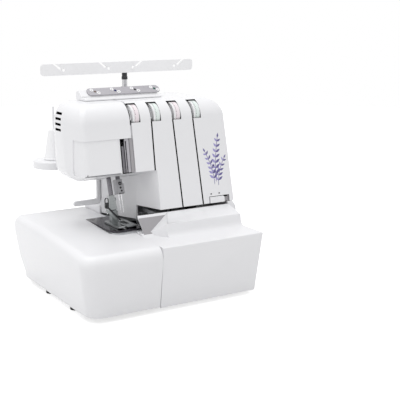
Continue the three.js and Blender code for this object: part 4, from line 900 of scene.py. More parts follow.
def seam(top_x, foot_x, foot_z):
    slab = as_object(extruded([
        (foot_x + 0.5, foot_z - 1), (foot_x + 2.6, foot_z - 1), (top_x + 2.6, BODY_TOP + 1),
        (top_x + 0.5, BODY_TOP + 1),
    ], "Y", EDGE_Y - TOP_RADIUS * math.cos(WINDOW_TO), face_y(foot_z) - 5))
    return blacken(combine(slab, [upper_body(2.2, -20, LOWER_EDGE - 5)]))


def dial_window(x):
    def ray(radius, angle):
        return EDGE_Y - radius * math.cos(angle), EDGE_Z + radius * math.sin(angle)
    wedge = as_object(extruded([
        ray(18, WINDOW_TO), ray(50, WINDOW_TO), ray(60, WINDOW_MIDDLE), ray(50, WINDOW_FROM),
        ray(18, WINDOW_FROM),
    ], "X", x - 4.2, x + DIAL_WIDTH + 0.5))
    wheel = as_object(rod(DIAL_RADIUS + 0.5, "X", (x - 4.2, DIAL_Y, DIAL_Z), DIAL_WIDTH + 4.7, 64))
    return blacken(combine(wedge, [wheel], "UNION"))


print("dials stand every", DIAL_X[1] - DIAL_X[0], "mm")

# %% [markdown]
# ## Body, hollowed and cut
# A tongue at the left carries the head, and a skirt closes the corner behind the throat. They are
# joined to the solid form first, then everything is hollowed, and the openings come last, so that
# each one goes through a wall of the final thickness.

# %% Build the body casing
SLOT_LEFT, SLOT_RIGHT = BODY_RIGHT - 44, BODY_RIGHT - 7.2
SLOT_TOP, SLOT_DEPTH = BODY_BOTTOM + 7.8, 2.6
tongue = combine(upper_body(WALL + 0.3, BODY_LEFT - 6), [block(
    (BODY_LEFT - 7, BODY_SPLIT - 30, 0), (BODY_LEFT, BODY_SPLIT + 1, BODY_TOP),
)])
skirt = as_object(extruded([
    (CORNER_X, BODY_SPLIT), (KINK_X, KINK_Y), (KINK_X + WALL, KINK_Y + 1),
    (CORNER_X + WALL, BODY_SPLIT),
], "Z", BED + 0.5, LOWER_EDGE + 1))
corner = combine(lower_body(0), [
    block((-1, 140, 0), (BODY_LEFT + 0.5, BODY_SPLIT + 1, BODY_TOP)),
], "INTERSECT")
body = combine(upper_body(0, BODY_LEFT, LOWER_EDGE), [throat()])
combine(body, [tongue, skirt, corner], "UNION")
hollows = [
    upper_body(WALL, BODY_LEFT + 3), upper_body(WALL + 2.3, BODY_LEFT - 11), lower_body(WALL),
    lower_body(WALL, 20),
    as_object(block((-20, BODY_SPLIT - 1, LOWER_EDGE),
                    (BODY_RIGHT - 25.4, BODY_SPLIT + 5, BODY_TOP - 13.4))),
]
# The hollows line the inside with black, which paints the shade inside the body.
for hollow in hollows:
    blacken(hollow)
combine(body, hollows)
seams = [
    seam(HEAD_RIGHT + 35, HEAD_RIGHT + 34, HEAD_BOTTOM),
    seam(HEAD_RIGHT + 70, HEAD_RIGHT + 76.4, LOWER_EDGE),
    seam(HEAD_RIGHT + 105, HEAD_RIGHT + 113, LOWER_EDGE),
]
# The recess of the slider is lined with grey and its narrow slot with black, both painted shade.
slider_slot = blacken(as_object(extruded([
    (face_y(LOWER_EDGE) - 5, LOWER_EDGE - 1), (face_y(LOWER_EDGE) + SLOT_DEPTH, LOWER_EDGE - 1),
    (face_y(SLOT_TOP) + SLOT_DEPTH, SLOT_TOP), (face_y(SLOT_TOP) - 5, SLOT_TOP),
], "X", SLOT_LEFT, SLOT_RIGHT)), 2)
neck_slot = blacken(as_object(block(
    (SLOT_LEFT + 2, BODY_FRONT - 2, SLOT_TOP - 2.8),
    (SLOT_RIGHT - 2, BODY_FRONT + 8, SLOT_TOP - 0.6),
)))
combine(body, seams + [dial_window(x) for x in DIAL_X] + [slider_slot, neck_slot])
finish(body, "body_moulding", "machine", "casing", [WHITE, SHADE_BLACK, GREY_SHADE], ["front_cover"])

# %% [markdown]
# ## Head casing
# The head hangs out over the bed to the left. Its outline is a rectangle with a broad round outer
# end, tucked in at the bottom like the bow of a boat and rolled over at the top. The underside
# slopes down to the back. A tall window at its right edge shows the take-up levers, four louvres
# cool it at the side, and the lower part of its face is set back by a small step.

# %% Forms of the head
HEAD_CORNER = -70.0
HEAD_TUCK = 24.0
BELLY_Y, BELLY_Z = 130.0, HEAD_BOTTOM - 14
NEEDLE_Y, NEEDLE_Z = 112.0, BED + 15
BAR_TILT = math.radians(16)


def bar_y(z):
    """The needle bar leans back as it rises."""
    return NEEDLE_Y + (z - NEEDLE_Z) * math.tan(BAR_TILT)


def head_form(inset, right):
    def outline_at(z, drawn):
        line = min(z, EDGE_Z)
        low = max(BELLY_Z + inset + HEAD_TUCK - z, 0) / HEAD_TUCK
        tuck = HEAD_TUCK * (1 - math.sqrt(max(1 - low * low, 0)))
        left = HEAD_LEFT + inset + drawn * 0.6 + tuck
        front = face_y(line) + inset + drawn
        rear = BODY_SPLIT - inset - drawn * 0.6 - tuck * 0.6
        return [
            (max(HEAD_CORNER + inset + drawn * 0.6, left + 2), front, 9), (right, front),
            (right, rear), (left, rear, (rear - front) * 0.3),
            (left, front * 0.55 + rear * 0.45, 20),
        ]
    start = BELLY_Z + inset
    low = [(start + share * HEAD_TUCK, outline_at(start + share * HEAD_TUCK, 0))
           for share in (0, 0.03, 0.08, 0.15, 0.25, 0.38, 0.55, 0.75, 1)]
    form = as_object(lofted(low + domed(BELLY_Z + HEAD_TUCK, inset, outline_at)[1:], segments=8))
    underside = as_object(extruded([
        (-5, HEAD_BOTTOM + inset), (face_y(HEAD_BOTTOM), HEAD_BOTTOM + inset),
        (BELLY_Y, BELLY_Z + inset), (BELLY_Y, BELLY_Z - 5), (-5, BELLY_Z - 5),
    ], "X", HEAD_LEFT - 5, right + 5))
    return combine(form, [underside])


print("the head is", round(HEAD_RIGHT - HEAD_LEFT, 1), "mm wide")

# %% [markdown]
# ## Head, hollowed and cut
# The window of the take-up levers runs on into an opening for the bars below. The step in the face
# is cut by a block less a slightly smaller head, so it follows the round corner with an even depth.

# %% Build the head casing
RECESS_LEFT = HEAD_RIGHT - 19
PRESSER_X = -15.0
head = head_form(0, HEAD_RIGHT)
# The head's hollow is lined with black, which paints the shade inside it.
combine(head, [blacken(head_form(WALL, HEAD_RIGHT + 5))])
recess = as_object(block(
    (RECESS_LEFT, face_y(HEAD_BOTTOM) - 5, HEAD_BOTTOM - 1),
    (HEAD_RIGHT + 1, bar_y(HEAD_BOTTOM) + 14, HEAD_BOTTOM + 50),
))
bar_opening = as_object(block(
    (PRESSER_X - 7, bar_y(BELLY_Z) - 14, BELLY_Z - 1),
    (HEAD_RIGHT + 1, bar_y(HEAD_BOTTOM) + 12, HEAD_BOTTOM + WALL),
))
step_back = combine(
    as_object(block((HEAD_LEFT, 0, HEAD_BOTTOM - 1), (RECESS_LEFT - 1, 117, HEAD_BOTTOM + 50))),
    [head_form(1.4, HEAD_RIGHT)],
)
louvres = [
    blacken(as_object(block((HEAD_LEFT - 3, 147, foot), (HEAD_LEFT + 12, 167, foot + 3.4))))
    for foot in (HEAD_BOTTOM + 60 + 8 * index for index in range(4))
]
body_wall = lower_body(-0.3, -0.3)
# The take-up window, the bar opening and the louvres are lined with black as painted shade.
combine(head, [blacken(recess), blacken(bar_opening), step_back, body_wall, *louvres])
finish(head, "head_moulding", "machine", "casing", [WHITE, SHADE_BLACK], ["head_cover"])

# %% [markdown]
# ## Guards of the take-up levers
# Bright strips stand in the window in front of the levers, so that a thread is led in from the
# side. They lean with the face. Bent wire would be rounder, but a flat strip catches the light as
# one even face.

# %% Build the guards of the take-up levers
def leaning_strip(low_x, high_x, set_back, depth, rise=49.7):
    """An upright strip that follows the lean of the face."""
    foot, top = HEAD_BOTTOM + 0.4, HEAD_BOTTOM + rise
    return as_object(extruded([
        (face_y(foot) + set_back, foot), (face_y(top) + set_back, top),
        (face_y(top) + set_back + depth, top), (face_y(foot) + set_back + depth, foot),
    ], "X", low_x, high_x))


guards = leaning_strip(RECESS_LEFT + 8, RECESS_LEFT + 9.3, 2.2, 3)
right_guard = leaning_strip(RECESS_LEFT + 10.9, RECESS_LEFT + 15.2, 1.8, 3)
guard_tie = as_object(block((RECESS_LEFT + 8, face_y(HEAD_BOTTOM) + 9.5, HEAD_BOTTOM + 46),
                            (RECESS_LEFT + 15.2, face_y(HEAD_BOTTOM) + 12, HEAD_BOTTOM + 49.6)))
combine(guards, [right_guard, guard_tie], "UNION")
finish(guards, "take_up_guards", "machine", "steel", [GUIDE], edge=0.4)
left_guard = leaning_strip(RECESS_LEFT + 3, RECESS_LEFT + 7, 3, 3, 39)
finish(left_guard, "take_up_guard_left", "machine", "dark_steel", [BAR_STEEL], edge=0.4)
# The cheek strip takes the grey that paints the shade beside the recess.
cheek = leaning_strip(BODY_LEFT - 5.8, BODY_LEFT - 0.4, 1.6, 2)
finish(cheek, "recess_cheek", "machine", "trim", [GREY_SHADE], edge=0.4)

# %% [markdown]
# ## Rear casing
# The rear casing closes the machine from behind: the same silhouette as the body, pulled straight
# back, with a wide skirt below for the motor. Its free edges are rounded with a bevel before the
# halves are joined, because a rounded edge is easier to pick on one simple solid.

# %% Forms of the rear casing
BODY_REAR, BASE_REAR = BODY_SPLIT + 23, drawn_box("rear_cover")[1].y
COVER_RIM = drawn_box("rear_cover")[0].z
SKIRT_TOP = BED + 12


def edges_where(bm, chosen):
    return [edge for edge in bm.edges if all(chosen(vert.co) for vert in edge.verts)]


def rear_corners(inset):
    right = side_x(EDGE_Z) - inset
    return [
        (CORNER_X + inset, COVER_RIM + inset), (BODY_RIGHT - inset, COVER_RIM + inset),
        (BODY_RIGHT - inset, LOWER_EDGE), (side_x(LOWER_EDGE) - inset, LOWER_EDGE),
        (right, BODY_TOP - inset, TOP_RADIUS - inset),
        (CORNER_X + inset, BODY_TOP - inset),
    ]


upper = extruded(rear_corners(0), "Y", BODY_SPLIT + 0.3, BODY_REAR, 12)
bevelled(upper, edges_where(upper, lambda p: p.y > BODY_REAR - 0.1), 6, 6)
skirt = extruded([
    (BODY_SPLIT + 0.3, COVER_RIM), (BASE_REAR, COVER_RIM, 6), (BASE_REAR, SKIRT_TOP, 16),
    (BODY_SPLIT + 0.3, SKIRT_TOP),
], "X", SEAM_X + 0.5, BODY_RIGHT, 10)
skirt_ends = [
    edge for edge in edges_where(skirt, lambda p: abs(p.x - BODY_RIGHT) < 0.1)
    + edges_where(skirt, lambda p: p.x < SEAM_X + 0.6)
    if max(vert.co.y for vert in edge.verts) > BODY_SPLIT + 1
    and max(vert.co.z for vert in edge.verts) > COVER_RIM + 0.1
]
bevelled(skirt, skirt_ends, 3.5, 5)
print("upper half:", len(upper.faces), "faces, skirt:", len(skirt.faces))

# %% [markdown]
# ## Hollow, louvres and screw recesses
# The hollows are the same two forms with an inset. Eleven upright louvres cool the motor, and a
# flat round recess lets each screw head sit deep enough to stay out of the way.

# %% Build the rear casing
rear = as_object(upper)
combine(rear, [skirt], "UNION")
skirt_hollow = as_object(extruded([
    (BODY_SPLIT - 1, -1), (BASE_REAR - SHELL, -1), (BASE_REAR - SHELL, SKIRT_TOP - SHELL, 13),
    (BODY_SPLIT - 1, SKIRT_TOP - SHELL),
], "X", SEAM_X + 0.5 + SHELL, BODY_RIGHT - SHELL))
upper_hollow = extruded(rear_corners(SHELL), "Y", BODY_SPLIT - 1, BODY_REAR - SHELL, 10)
bevelled(upper_hollow, edges_where(upper_hollow, lambda p: p.y > BODY_REAR - SHELL - 0.1), 4, 4)
louvre_tool = bmesh.new()
for index in range(11):
    left = 42 + 8 * index
    extruded(rectangle(left, 58, left + 3.3, 98, 1.6), "Y", BASE_REAR - 6, BASE_REAR + 3,
             bm=louvre_tool)
SCREW_PLACES = [(15, 268), (163, 258), (15, 142), (163, 142)]
recesses = bmesh.new()
for x, z in SCREW_PLACES:
    rod(4.6, "Y", (x, BODY_REAR - 1.7, z), 4, 32, bm=recesses)
combine(rear, [skirt_hollow, upper_hollow, louvre_tool, recesses])
finish(rear, "rear_moulding", "machine", "casing", [WHITE], ["rear_cover"])

# %% [markdown]
# ## Casing screws
# Four slotted screws hold the rear casing. All heads are turned in one mesh and all slots cut at
# once; the slots keep the black of their cutter, which paints the shade in them.

# %% Build the casing screws
screws = bmesh.new()
slots = bmesh.new()
for x, z in SCREW_PLACES:
    turned([(0, 0), (3.4, 0), (3.4, 0.7), (2.2, 1.35), (0, 1.5)], "Y", (x, BODY_REAR - 1.6, z), 32,
           bm=screws)
    block((x - 1.9, BODY_REAR - 1, z - 0.35), (x + 1.9, BODY_REAR + 1, z + 0.35), slots)
screws = combine(screws, [as_object(slots, second=True)])
finish(screws, "casing_screws", "machine", "steel", [STEEL, BLACK], edge=0.12)

# %% [markdown]
# ## Side cover
# The right-hand side is a bent sheet with a rib that swells out under the body's edge. Its holes
# let the shaft, two dial spindles and the power panel through, each a little wider than what
# passes.

# %% Build the side cover
side = as_object(extruded([
    (BODY_RIGHT, BODY_SPLIT), (BODY_RIGHT, BODY_FRONT + 4, 2), (BODY_RIGHT - 5, BODY_FRONT + 4),
    (BODY_RIGHT - 5, BODY_FRONT + 4 + SHELL), (BODY_RIGHT - SHELL, BODY_FRONT + 4 + SHELL),
    (BODY_RIGHT - SHELL, BODY_SPLIT),
], "Z", COVER_RIM, LOWER_EDGE - 0.3))
SHAFT_Y, SHAFT_Z = 156.0, 92.0
SIDE_DIAL_Y, STITCH_Z, FEED_Z = 99.0, BED + 4, BED - 32
PANEL_Y, PANEL_Z = (88.0, 154.0), (20.0, 48.0)
side_holes = [
    rod(6.5, "X", (BODY_RIGHT - 6, SHAFT_Y, SHAFT_Z), 12, 48),
    rod(3.3, "X", (BODY_RIGHT - 6, SIDE_DIAL_Y, STITCH_Z), 12, 32),
    rod(3.3, "X", (BODY_RIGHT - 6, SIDE_DIAL_Y, FEED_Z), 12, 32),
    block((BODY_RIGHT - 6, PANEL_Y[0] - 0.3, PANEL_Z[0] - 0.3),
          (BODY_RIGHT + 6, PANEL_Y[1] + 0.3, PANEL_Z[1] + 0.3)),
]
shoulder_rib = extruded([
    (BODY_RIGHT - 11, LOWER_EDGE - 0.3), (BODY_RIGHT - 2.4, LOWER_EDGE - 0.3, 1.5),
    (BODY_RIGHT + 1.5, LOWER_EDGE - 7, 4), (BODY_RIGHT + 4, LOWER_EDGE - 19, 6),
    (BODY_RIGHT + 4, LOWER_EDGE - 36, 4), (BODY_RIGHT - 5, LOWER_EDGE - 42),
    (BODY_RIGHT - 5, LOWER_EDGE - 12), (BODY_RIGHT - 11, LOWER_EDGE - 6),
], "Y", BODY_FRONT - 0.8, BODY_FRONT + 4.6)
combine(side, [shoulder_rib], "UNION")
combine(side, side_holes)
finish(side, "side_moulding", "machine", "casing", [WHITE], ["side_cover"])

# %% [markdown]
# ## Tension dials
# Four wheels show through the windows of the rounded top edge. Each is a lathe shape: a fine ribbed
# rim at the left for the finger, a shallow groove with a tinted band, and a plain rim at the right.
# The numbers 0 to 9 run round the band with a tick between them. They are real text, made a thin
# mesh and laid on the wheel, so they stay sharp at any distance.

# %% Helpers for small parts
def gathered(shapes):
    """Several bmeshes as one."""
    whole = bmesh.new()
    for shape in shapes:
        mesh = bpy.data.meshes.new("shape")
        shape.to_mesh(mesh)
        shape.free()
        whole.from_mesh(mesh)
        bpy.data.meshes.remove(mesh)
    return whole


def moved(bm, place):
    bmesh.ops.transform(bm, matrix=place, verts=bm.verts)
    return bm


PRINT_HEIGHT = 0.06


def printed(words, size, place):
    """Words as a thin raised print; place turns flat text onto its surface."""
    curve = bpy.data.curves.new("words", "FONT")
    curve.body, curve.size, curve.extrude = words, size, PRINT_HEIGHT / 2
    curve.align_x, curve.align_y, curve.resolution_u = "CENTER", "CENTER", 3
    flat = bpy.data.objects.new("words", curve)
    scratch.objects.link(flat)
    ready = flat.evaluated_get(bpy.context.evaluated_depsgraph_get())
    mesh = bpy.data.meshes.new_from_object(ready)
    shape = bmesh.new()
    shape.from_mesh(mesh)
    bmesh.ops.remove_doubles(shape, verts=shape.verts, dist=1e-4)
    bpy.data.objects.remove(flat)
    bpy.data.curves.remove(curve)
    bpy.data.meshes.remove(mesh)
    return moved(shape, place)


def on_rim(radius, angle, x, y, z):
    """Turns flat shapes onto a wheel about X: words run along X and stand up the rim."""
    turn = Matrix.Rotation(-angle, 4, "X") @ Matrix.Rotation(math.pi / 2, 4, "X")
    return Matrix.Translation((x, y, z)) @ turn @ Matrix.Translation((0, 0, radius))


print("numbers stand", PRINT_HEIGHT, "mm high")

# %% [markdown]
# ## The four dials
# One function turns, ribs and numbers a dial; only the place and the tint of the band change. Pink
# and green take turns, so that neighbours are easy to tell apart.

# %% Build the four dials
def dial_parts(x):
    rim, low = DIAL_RADIUS, DIAL_RADIUS - 0.45
    wheel = as_object(turned([
        (4.3, 0), (rim - 0.5, 0), (rim, 0.5), (rim, 2.5), (low, 2.7), (low, 10), (rim, 10.1),
        (rim, 10.5), (rim - 0.3, DIAL_WIDTH), (4.3, DIAL_WIDTH), (4.3, 0),
    ], "X", (x, DIAL_Y, DIAL_Z), 96))
    ribs = rods_round(72, 0.42, rim + 0.16, (x - 1, DIAL_Y, DIAL_Z), 3.2, 8)
    combine(wheel, [ribs])
    band = turned([
        (low - 0.5, 2.85), (rim - 0.1, 2.85), (rim - 0.1, 9.85), (low - 0.5, 9.85),
        (low - 0.5, 2.85),
    ], "X", (x, DIAL_Y, DIAL_Z), 96)
    marks = []
    for number in range(10):
        angle = math.radians(-29 + 16 * number)
        marks.append(printed(str(number), 2.9, on_rim(rim - 0.08, angle, x + 4.3, DIAL_Y, DIAL_Z)))
        if number < 9:
            tick = block((-0.8, -0.18, -0.03), (0.5, 0.18, 0.03))
            between = angle + math.radians(8)
            marks.append(moved(tick, on_rim(rim - 0.08, between, x + 4.2, DIAL_Y, DIAL_Z)))
    return wheel, band, gathered(marks)


for index, x in enumerate(DIAL_X):
    wheel, band, marks = dial_parts(x)
    body_name = f"dial_{index + 1}"
    tint, tint_slot = (PINK, "pink_dial") if index % 2 == 0 else (GREEN, "green_dial")
    finish(wheel, f"dial_{index + 1}_wheel", body_name, tint_slot, [CONE_WHITE],
           [f"tension_dial_{index + 1}"], edge=0)
    finish(band, f"dial_{index + 1}_band", body_name, tint_slot, [tint], edge=0)
    finish(marks, f"dial_{index + 1}_numbers", body_name, "dark_plastic", [INK], edge=0)

# %% [markdown]
# ## Slider
# A flat lever low on the front face slides in a shallow recess that is open at the bottom. It is a
# plate with rounded corners that leans with the face. A neck runs through a narrow slot to a keeper
# behind the panel.

# %% Build the slider
SLIDER_LEFT, SLIDER_WIDTH = SLOT_LEFT + 0.9, 26.2
KEEPER_Y = face_y(SLOT_TOP) + WALL + 0.3
slider = as_object(extruded([
    (face_y(LOWER_EDGE) - 1.6, LOWER_EDGE + 0.2, 0.5), (face_y(LOWER_EDGE) + 1.9, LOWER_EDGE + 0.2),
    (face_y(SLOT_TOP) + 1.9, SLOT_TOP - 0.9), (face_y(SLOT_TOP) - 1.6, SLOT_TOP - 0.9, 0.9),
], "X", SLIDER_LEFT, SLIDER_LEFT + SLIDER_WIDTH))
slider_plan = as_object(extruded([
    (SLIDER_LEFT, LOWER_EDGE), (SLIDER_LEFT + SLIDER_WIDTH, LOWER_EDGE),
    (SLIDER_LEFT + SLIDER_WIDTH, SLOT_TOP - 0.9, 2.2), (SLIDER_LEFT, SLOT_TOP - 0.9, 0.8),
], "Y", BODY_FRONT - 5, BODY_FRONT + 5))
combine(slider, [slider_plan], "INTERSECT")
neck = as_object(block((SLIDER_LEFT + 2, BODY_FRONT + 1.5, SLOT_TOP - 2.5),
                       (SLIDER_LEFT + SLIDER_WIDTH - 3, KEEPER_Y + 0.1, SLOT_TOP - 1.1)))
keeper = as_object(block((SLIDER_LEFT + 1, KEEPER_Y, SLOT_TOP - 6),
                         (SLIDER_LEFT + SLIDER_WIDTH, KEEPER_Y + 2.4, SLOT_TOP + 2)))
combine(slider, [neck, keeper], "UNION")
finish(slider, "slider_lever", "slider", "casing", [WHITE], ["front_slider"], edge=0.3)

dots = gathered([
    rod(1.4, "Y", (x, face_y(SLOT_TOP + 3.6) - 0.12, SLOT_TOP + 3.6), 0.6, 20)
    for x in (SLOT_LEFT + 3.9, SLOT_LEFT + 18.7)
])
finish(dots, "slider_marks", "machine", "dark_plastic", [INK], edge=0)

# %% [markdown]
# ## Needle clamp
# The needle bar and the presser bar lean back by 16 degrees, so their parts are modelled upright
# about the needle tip and turned by one matrix. The clamp is a ground steel block with three
# screws.

# %% Needle clamp
LEAN = Matrix.Translation((0, NEEDLE_Y, NEEDLE_Z)) @ Matrix.Rotation(-BAR_TILT, 4, "X")
CLAMP_FOOT, CLAMP_TOP = 30.6, 52.6
NEEDLE_OFFSET = 2.2


def leaned(made):
    made.data.transform(LEAN)
    return made


clamp = as_object(block((-6, -6, CLAMP_FOOT), (6, 6, CLAMP_TOP)))
# The faces left by the two notches take the black of their cutters, as painted shade.
clamp_cuts = [
    as_object(block((3.4, -7, CLAMP_TOP - 7), (7, -1.5, CLAMP_TOP + 1)), second=True),
    as_object(block((-3.6, -7, CLAMP_FOOT - 1), (3.8, -4.8, CLAMP_FOOT + 1.1)), second=True),
    rod(1.1, "Z", (-NEEDLE_OFFSET, 0, CLAMP_FOOT - 1), 11.5, 16),
    rod(1.1, "Z", (NEEDLE_OFFSET, 0, CLAMP_FOOT - 1), 11.5, 16),
]
combine(clamp, clamp_cuts)
clamp_screw = combine(
    as_object(rod(2.6, "Y", (-0.4, -7.7, CLAMP_TOP - 6.5), 4, 32, 0.4), second=True),
    [block((-4, -8, CLAMP_TOP - 6.9), (4, -7, CLAMP_TOP - 6.1))],
)
set_screws = [
    as_object(rod(1.55, "Y", (x, -6.6, z), 3, 24, 0.25), second=True)
    for x, z in ((-0.2, CLAMP_TOP - 12.8), (0.9, CLAMP_TOP - 17.6))
]
combine(clamp, [clamp_screw, *set_screws], "UNION")
finish(leaned(clamp), "needle_clamp_block", "needle_drive", "steel", [CLAMP_STEEL, BLACK],
       ["needle_clamp"], edge=0.3)

# %% [markdown]
# ## Needles and bars
# A needle is a lathe shape with a thick shank, a thin blade and a point. Both bars are plain rods.

# %% Needles and bars
BAR_RADIUS, NEEDLE_BAR_TOP = 3.5, 145.0
PRESSER_BAR_FOOT, PRESSER_BAR_TOP = 30.3, 149.0
for name, x in (("left", -NEEDLE_OFFSET), ("right", NEEDLE_OFFSET)):
    needle = as_object(turned([
        (0, 0), (0.25, 1.2), (0.5, 3.2), (0.55, 21), (0.8, 23), (0.8, 42), (0, 42),
    ], "Z", (x, 0, 0), 20))
    finish(leaned(needle), f"{name}_needle_shape", "needle_drive", "chrome", [CHROME],
           [f"{name}_needle"], edge=0)

needle_bar = as_object(rod(BAR_RADIUS, "Z", (0, 0, CLAMP_TOP + 0.3),
                           NEEDLE_BAR_TOP - CLAMP_TOP - 0.3, 40, 0.4))
finish(leaned(needle_bar), "needle_bar_shape", "needle_drive", "chrome", [BAR_STEEL],
       ["needle_bar"], edge=0)
presser_bar = as_object(rod(BAR_RADIUS, "Z", (PRESSER_X, 0, PRESSER_BAR_FOOT),
                            PRESSER_BAR_TOP - PRESSER_BAR_FOOT, 40, 0.4))
finish(leaned(presser_bar), "presser_bar_shape", "presser", "steel", [BAR_STEEL],
       ["presser_bar"], edge=0)

# %% [markdown]
# ## Presser foot
# The foot is a sole with a turned-up toe and a slot for the needles, hung on an ankle. Side view
# and plan are two outlines; the solid that both share has the right curve from either side. A thin
# finger between the needles holds the loops of the seam.

# %% Presser foot
SOLE_FOOT, SOLE_TOP = BED + 0.3, BED + 2.9
sole = as_object(extruded([
    (NEEDLE_Y - 31, SOLE_FOOT + 1.6, 0.5), (NEEDLE_Y - 24, SOLE_FOOT, 8),
    (NEEDLE_Y + 22, SOLE_FOOT, 1), (NEEDLE_Y + 22, SOLE_TOP, 1),
    (NEEDLE_Y - 22.6, SOLE_TOP, 6), (NEEDLE_Y - 31, SOLE_TOP + 1.6, 0.5),
], "X", PRESSER_X - 7, 10))
sole_plan = as_object(extruded([
    (PRESSER_X - 7, NEEDLE_Y - 31, 3), (10, NEEDLE_Y - 31, 7), (10, NEEDLE_Y + 22, 9),
    (PRESSER_X - 7, NEEDLE_Y + 22, 5),
], "Z", BED - 1, BED + 12))
combine(sole, [sole_plan], "INTERSECT")
needle_slot = as_object(extruded(
    rectangle(-4.5, NEEDLE_Y - 13, 4.5, NEEDLE_Y + 6, 2), "Z", BED - 1, BED + 9,
))
toe_slot = as_object(extruded([
    (-12, NEEDLE_Y - 33), (-8.6, NEEDLE_Y - 33), (-8.6, NEEDLE_Y - 12, 1.6),
    (-12, NEEDLE_Y - 12, 1.6),
], "Z", BED - 1, BED + 12))
combine(sole, [needle_slot, toe_slot])
finger = as_object(extruded([
    (NEEDLE_Y - 14, SOLE_TOP - 0.4), (NEEDLE_Y - 14, SOLE_TOP - 1.5),
    (NEEDLE_Y + 3, SOLE_FOOT + 0.2), (NEEDLE_Y + 3, SOLE_FOOT + 0.9),
], "X", -0.7, 0.7))
shank = as_object(extruded([
    (PRESSER_X - 5, SOLE_TOP - 0.5), (PRESSER_X + 5.4, SOLE_TOP - 0.5),
    (PRESSER_X + 5.4, NEEDLE_Z + 8, 2), (PRESSER_X - 5, NEEDLE_Z + 8, 2),
], "Y", NEEDLE_Y - 3, NEEDLE_Y + 5))
ankle = leaned(as_object(extruded([
    (PRESSER_X - 5.5, 8, 1.5), (PRESSER_X + 5.8, 8, 1.5), (PRESSER_X + 3.7, 30, 0.8),
    (PRESSER_X - 5, 30, 0.8),
], "Y", -3.5, 3.5)))
ankle_screw = combine(leaned(as_object(rod(2.4, "X", (PRESSER_X + 3, 0, 24), 4, 28, 0.4))), [
    leaned(as_object(block((PRESSER_X + 6.4, -3, 23.7), (PRESSER_X + 8, 3, 24.3)))),
])
hinge_pin = as_object(rod(1.4, "X", (PRESSER_X - 6.5, NEEDLE_Y + 1, BED + 7), 13.5, 24, 0.3))
combine(sole, [finger, shank, ankle, ankle_screw, hinge_pin], "UNION")
finish(sole, "presser_foot_shape", "presser", "steel", [FOOT_STEEL], ["presser_foot"], edge=0.3)

# %% [markdown]
# ## Foot lever
# A small black lever at the left of the foot ends in an open loop for the finger. The loop is a
# turned ring with its lower half cut off, and a thin steel leaf joins the lever to the foot.

# %% Foot lever
LEVER_X = PRESSER_X - 11.5
loop = as_object(turned([
    (3.1, -1.0), (2.1, -1.0), (2.1, 1.0), (3.1, 1.0), (3.1, -1.0),
], "Y", (LEVER_X, NEEDLE_Y, NEEDLE_Z + 25), 32))
combine(loop, [block((LEVER_X - 5, NEEDLE_Y - 3, NEEDLE_Z + 20),
                     (LEVER_X + 5, NEEDLE_Y + 3, NEEDLE_Z + 24.6))])
lever_parts = [
    block((LEVER_X - 3.1, NEEDLE_Y - 1, NEEDLE_Z + 20.5),
          (LEVER_X - 2.1, NEEDLE_Y + 1, NEEDLE_Z + 24.8)),
    block((LEVER_X + 2.1, NEEDLE_Y - 1, NEEDLE_Z + 19),
          (LEVER_X + 3.1, NEEDLE_Y + 1, NEEDLE_Z + 24.8)),
    extruded([
        (LEVER_X - 2.6, NEEDLE_Z + 20.4, 0.8), (LEVER_X - 2.6, NEEDLE_Z + 12, 1.5),
        (LEVER_X + 2.6, NEEDLE_Z + 11, 1.5), (LEVER_X + 3.1, NEEDLE_Z + 20.4, 0.8),
    ], "Y", NEEDLE_Y - 2, NEEDLE_Y + 2),
    extruded([
        (LEVER_X - 1.5, NEEDLE_Z + 13.5), (LEVER_X + 0.2, NEEDLE_Z + 15.5),
        (PRESSER_X + 9.5, BED + 8.5), (PRESSER_X + 8.5, BED + 6.6),
    ], "Y", NEEDLE_Y - 5.2, NEEDLE_Y - 3.3),
    block((LEVER_X - 1.4, NEEDLE_Y - 5.2, NEEDLE_Z + 12),
          (LEVER_X + 1.4, NEEDLE_Y - 1, NEEDLE_Z + 16)),
]
combine(loop, lever_parts, "UNION")
finish(loop, "foot_lever_shape", "presser", "dark_plastic", [BLACK], ["foot_lever"], edge=0.25)
leaf = extruded([
    (LEVER_X - 5.5, NEEDLE_Z + 12.5, 1), (LEVER_X - 1.5, NEEDLE_Z + 11.5),
    (PRESSER_X + 6, BED + 7, 1), (PRESSER_X + 3, BED + 5, 1), (LEVER_X + 1, NEEDLE_Z + 4, 2),
], "Y", NEEDLE_Y - 6.2, NEEDLE_Y - 5.4)
finish(leaf, "foot_lever_plate", "presser", "steel", [FOOT_STEEL], edge=0.15)

# %% [markdown]
# ## Presser foot lifter
# The lifter is a bent lever at the back of the head. Its grip reaches out to the left, its arm
# stands close beside the corner of the body, and its round boss turns on a stub behind the head, so
# one rounded outline with a disc at its top gives the whole lever.

# %% Build the presser foot lifter
LIFTER_BOX = drawn_box("presser_lifter")
LIFTER_X, LIFTER_Z = LIFTER_BOX[1].x - 7, LIFTER_BOX[1].z - 7
GRIP_X, GRIP_Z, ARM_X = LIFTER_BOX[0].x, LIFTER_BOX[0].z, BODY_LEFT - 6.6
lifter = as_object(extruded([
    (GRIP_X, GRIP_Z, 3.5), (ARM_X, GRIP_Z, 5), (ARM_X, HEAD_BOTTOM - 4, 6),
    (LIFTER_X + 5, LIFTER_Z + 4, 3), (LIFTER_X - 5, LIFTER_Z - 4, 3),
    (ARM_X - 5.5, HEAD_BOTTOM - 9, 4), (ARM_X - 5.5, GRIP_Z + 8.5, 4), (GRIP_X, GRIP_Z + 8, 3.5),
], "Y", LIFTER_BOX[1].y - 1.5, LIFTER_BOX[0].y))
combine(lifter, [rod(7, "Y", (LIFTER_X, LIFTER_BOX[0].y, LIFTER_Z), 7, 48)], "UNION")
finish(lifter, "presser_lifter_shape", "lifter", "casing", [CONE_WHITE], ["presser_lifter"],
       edge=0.8)

# %% [markdown]
# ## Needle plate
# The needle plate is a dark plated sheet with a slot for the needles and two rows of slots for the
# feed dogs. Four ruled lines at its front show how wide the seam will be. Slots and lines are all
# tools of one cut.

